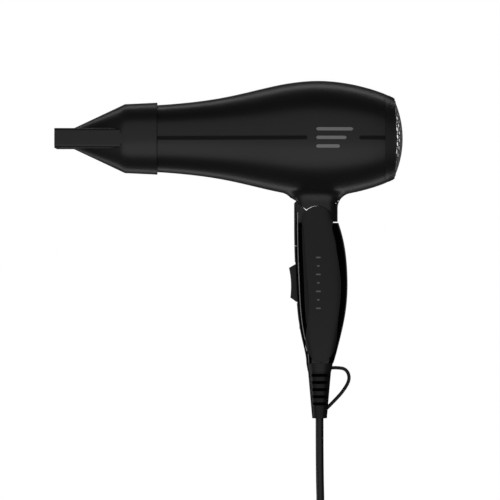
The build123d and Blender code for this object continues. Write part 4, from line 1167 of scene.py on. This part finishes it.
@dataclass
class Studio:
    """White sheet and surroundings, soft lamps and the long-lens camera."""

    camera_place: tuple = (-0.0491, -3.5, 0.0294)
    lens: float = 345.0
    sensor: float = 36.0
    floor_z: float = -0.2132
    floor_reach: float = 60.0
    surround: float = 0.012
    lamps: tuple = (
        Lamp("front_sheet", (0.0, -2.4, -0.15), (0.0, 0.0, -0.15), (6.0, 8.4), 62.0),
        Lamp("low_front_sheet", (0.0, -1.7, -1.2), (0.0, 0.0, 0.08), (4.0, 1.8), 7.0),
        Lamp("top_back_strip", (0.0, 0.95, 1.35), (0.0, 0.0, 0.1), (3.2, 0.25), 4.0),
        Lamp("back_sheet", (0.0, 1.9, 0.3), (0.0, 0.0, 0.1), (3.4, 1.2), 1.0),
        Lamp("low_back_sheet", (0.0, 1.2, -1.25), (0.0, 0.0, 0.08), (3.2, 0.4), 4.0),
        Lamp("left_edge_strip", (-1.6, 0.3, 0.0), (0.0, 0.0, 0.0), (0.3, 1.6), 5.0),
    )

    def build(self) -> None:
        """Build the stage, the lamps and the camera."""
        bpy.context.scene.view_settings.view_transform = "Standard"
        self.floor()
        self.surroundings()
        for lamp in self.lamps:
            lamp.build()
        self.camera()

    def camera(self) -> None:
        """Add the camera, level and square to the object's side."""
        camera = bpy.data.cameras.new("long_lens")
        camera.lens = self.lens
        camera.sensor_width = self.sensor
        holder = bpy.data.objects.new("long_lens", camera)
        holder.location = self.camera_place
        holder.rotation_euler = (math.radians(90), 0.0, 0.0)
        bpy.context.scene.collection.objects.link(holder)
        bpy.context.scene.camera = holder

    def surroundings(self) -> None:
        """White where the camera sees past the object, and dim all round it."""
        world = bpy.data.worlds.new("studio")
        bpy.context.scene.world = world
        world.use_nodes = True
        tree = world.node_tree
        background = tree.nodes["Background"]
        background.inputs["Color"].default_value = (1.0, 1.0, 1.0, 1.0)
        seen = tree.nodes.new("ShaderNodeLightPath").outputs["Is Camera Ray"]
        part = math_node(tree, "MULTIPLY", seen, 1.0 - self.surround)
        tree.links.new(math_node(tree, "ADD", part, self.surround), background.inputs["Strength"])

    def floor(self) -> None:
        """A plain white sheet under the object that lets the low lamps through."""
        side = self.floor_reach
        mesh = bpy.data.meshes.new("floor")
        mesh.from_pydata([(-side, -side, self.floor_z), (side, -side, self.floor_z),
                          (side, side, self.floor_z), (-side, side, self.floor_z)], [],
                         [(0, 1, 2, 3)])
        sheet = new_object("floor", mesh)
        sheet.visible_glossy = False
        sheet.visible_diffuse = False
        sheet.visible_shadow = False
        paper = bpy.data.materials.new("white_paper")
        paper.use_nodes = True
        shader = paper.node_tree.nodes["Principled BSDF"]
        for label, value in (("Base Color", (0.02, 0.02, 0.02, 1.0)), ("Roughness", 0.9),
                             ("Specular IOR Level", 0.0), ("Emission Strength", 1.0),
                             ("Emission Color", (1.0, 1.0, 1.0, 1.0))):
            shader.inputs[label].default_value = value
        mesh.materials.append(paper)


def main() -> None:
    """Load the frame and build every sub-assembly."""
    logging.basicConfig(level=logging.INFO, format="%(name)s %(message)s")
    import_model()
    for part in (Studio(), MainsCord(), BarrelShells(), RearCover(), Airway(), Grip(),
                 CordEntry()):
        part.build()
    bpy.context.view_layer.update()


if __name__ == "__main__":
    main()
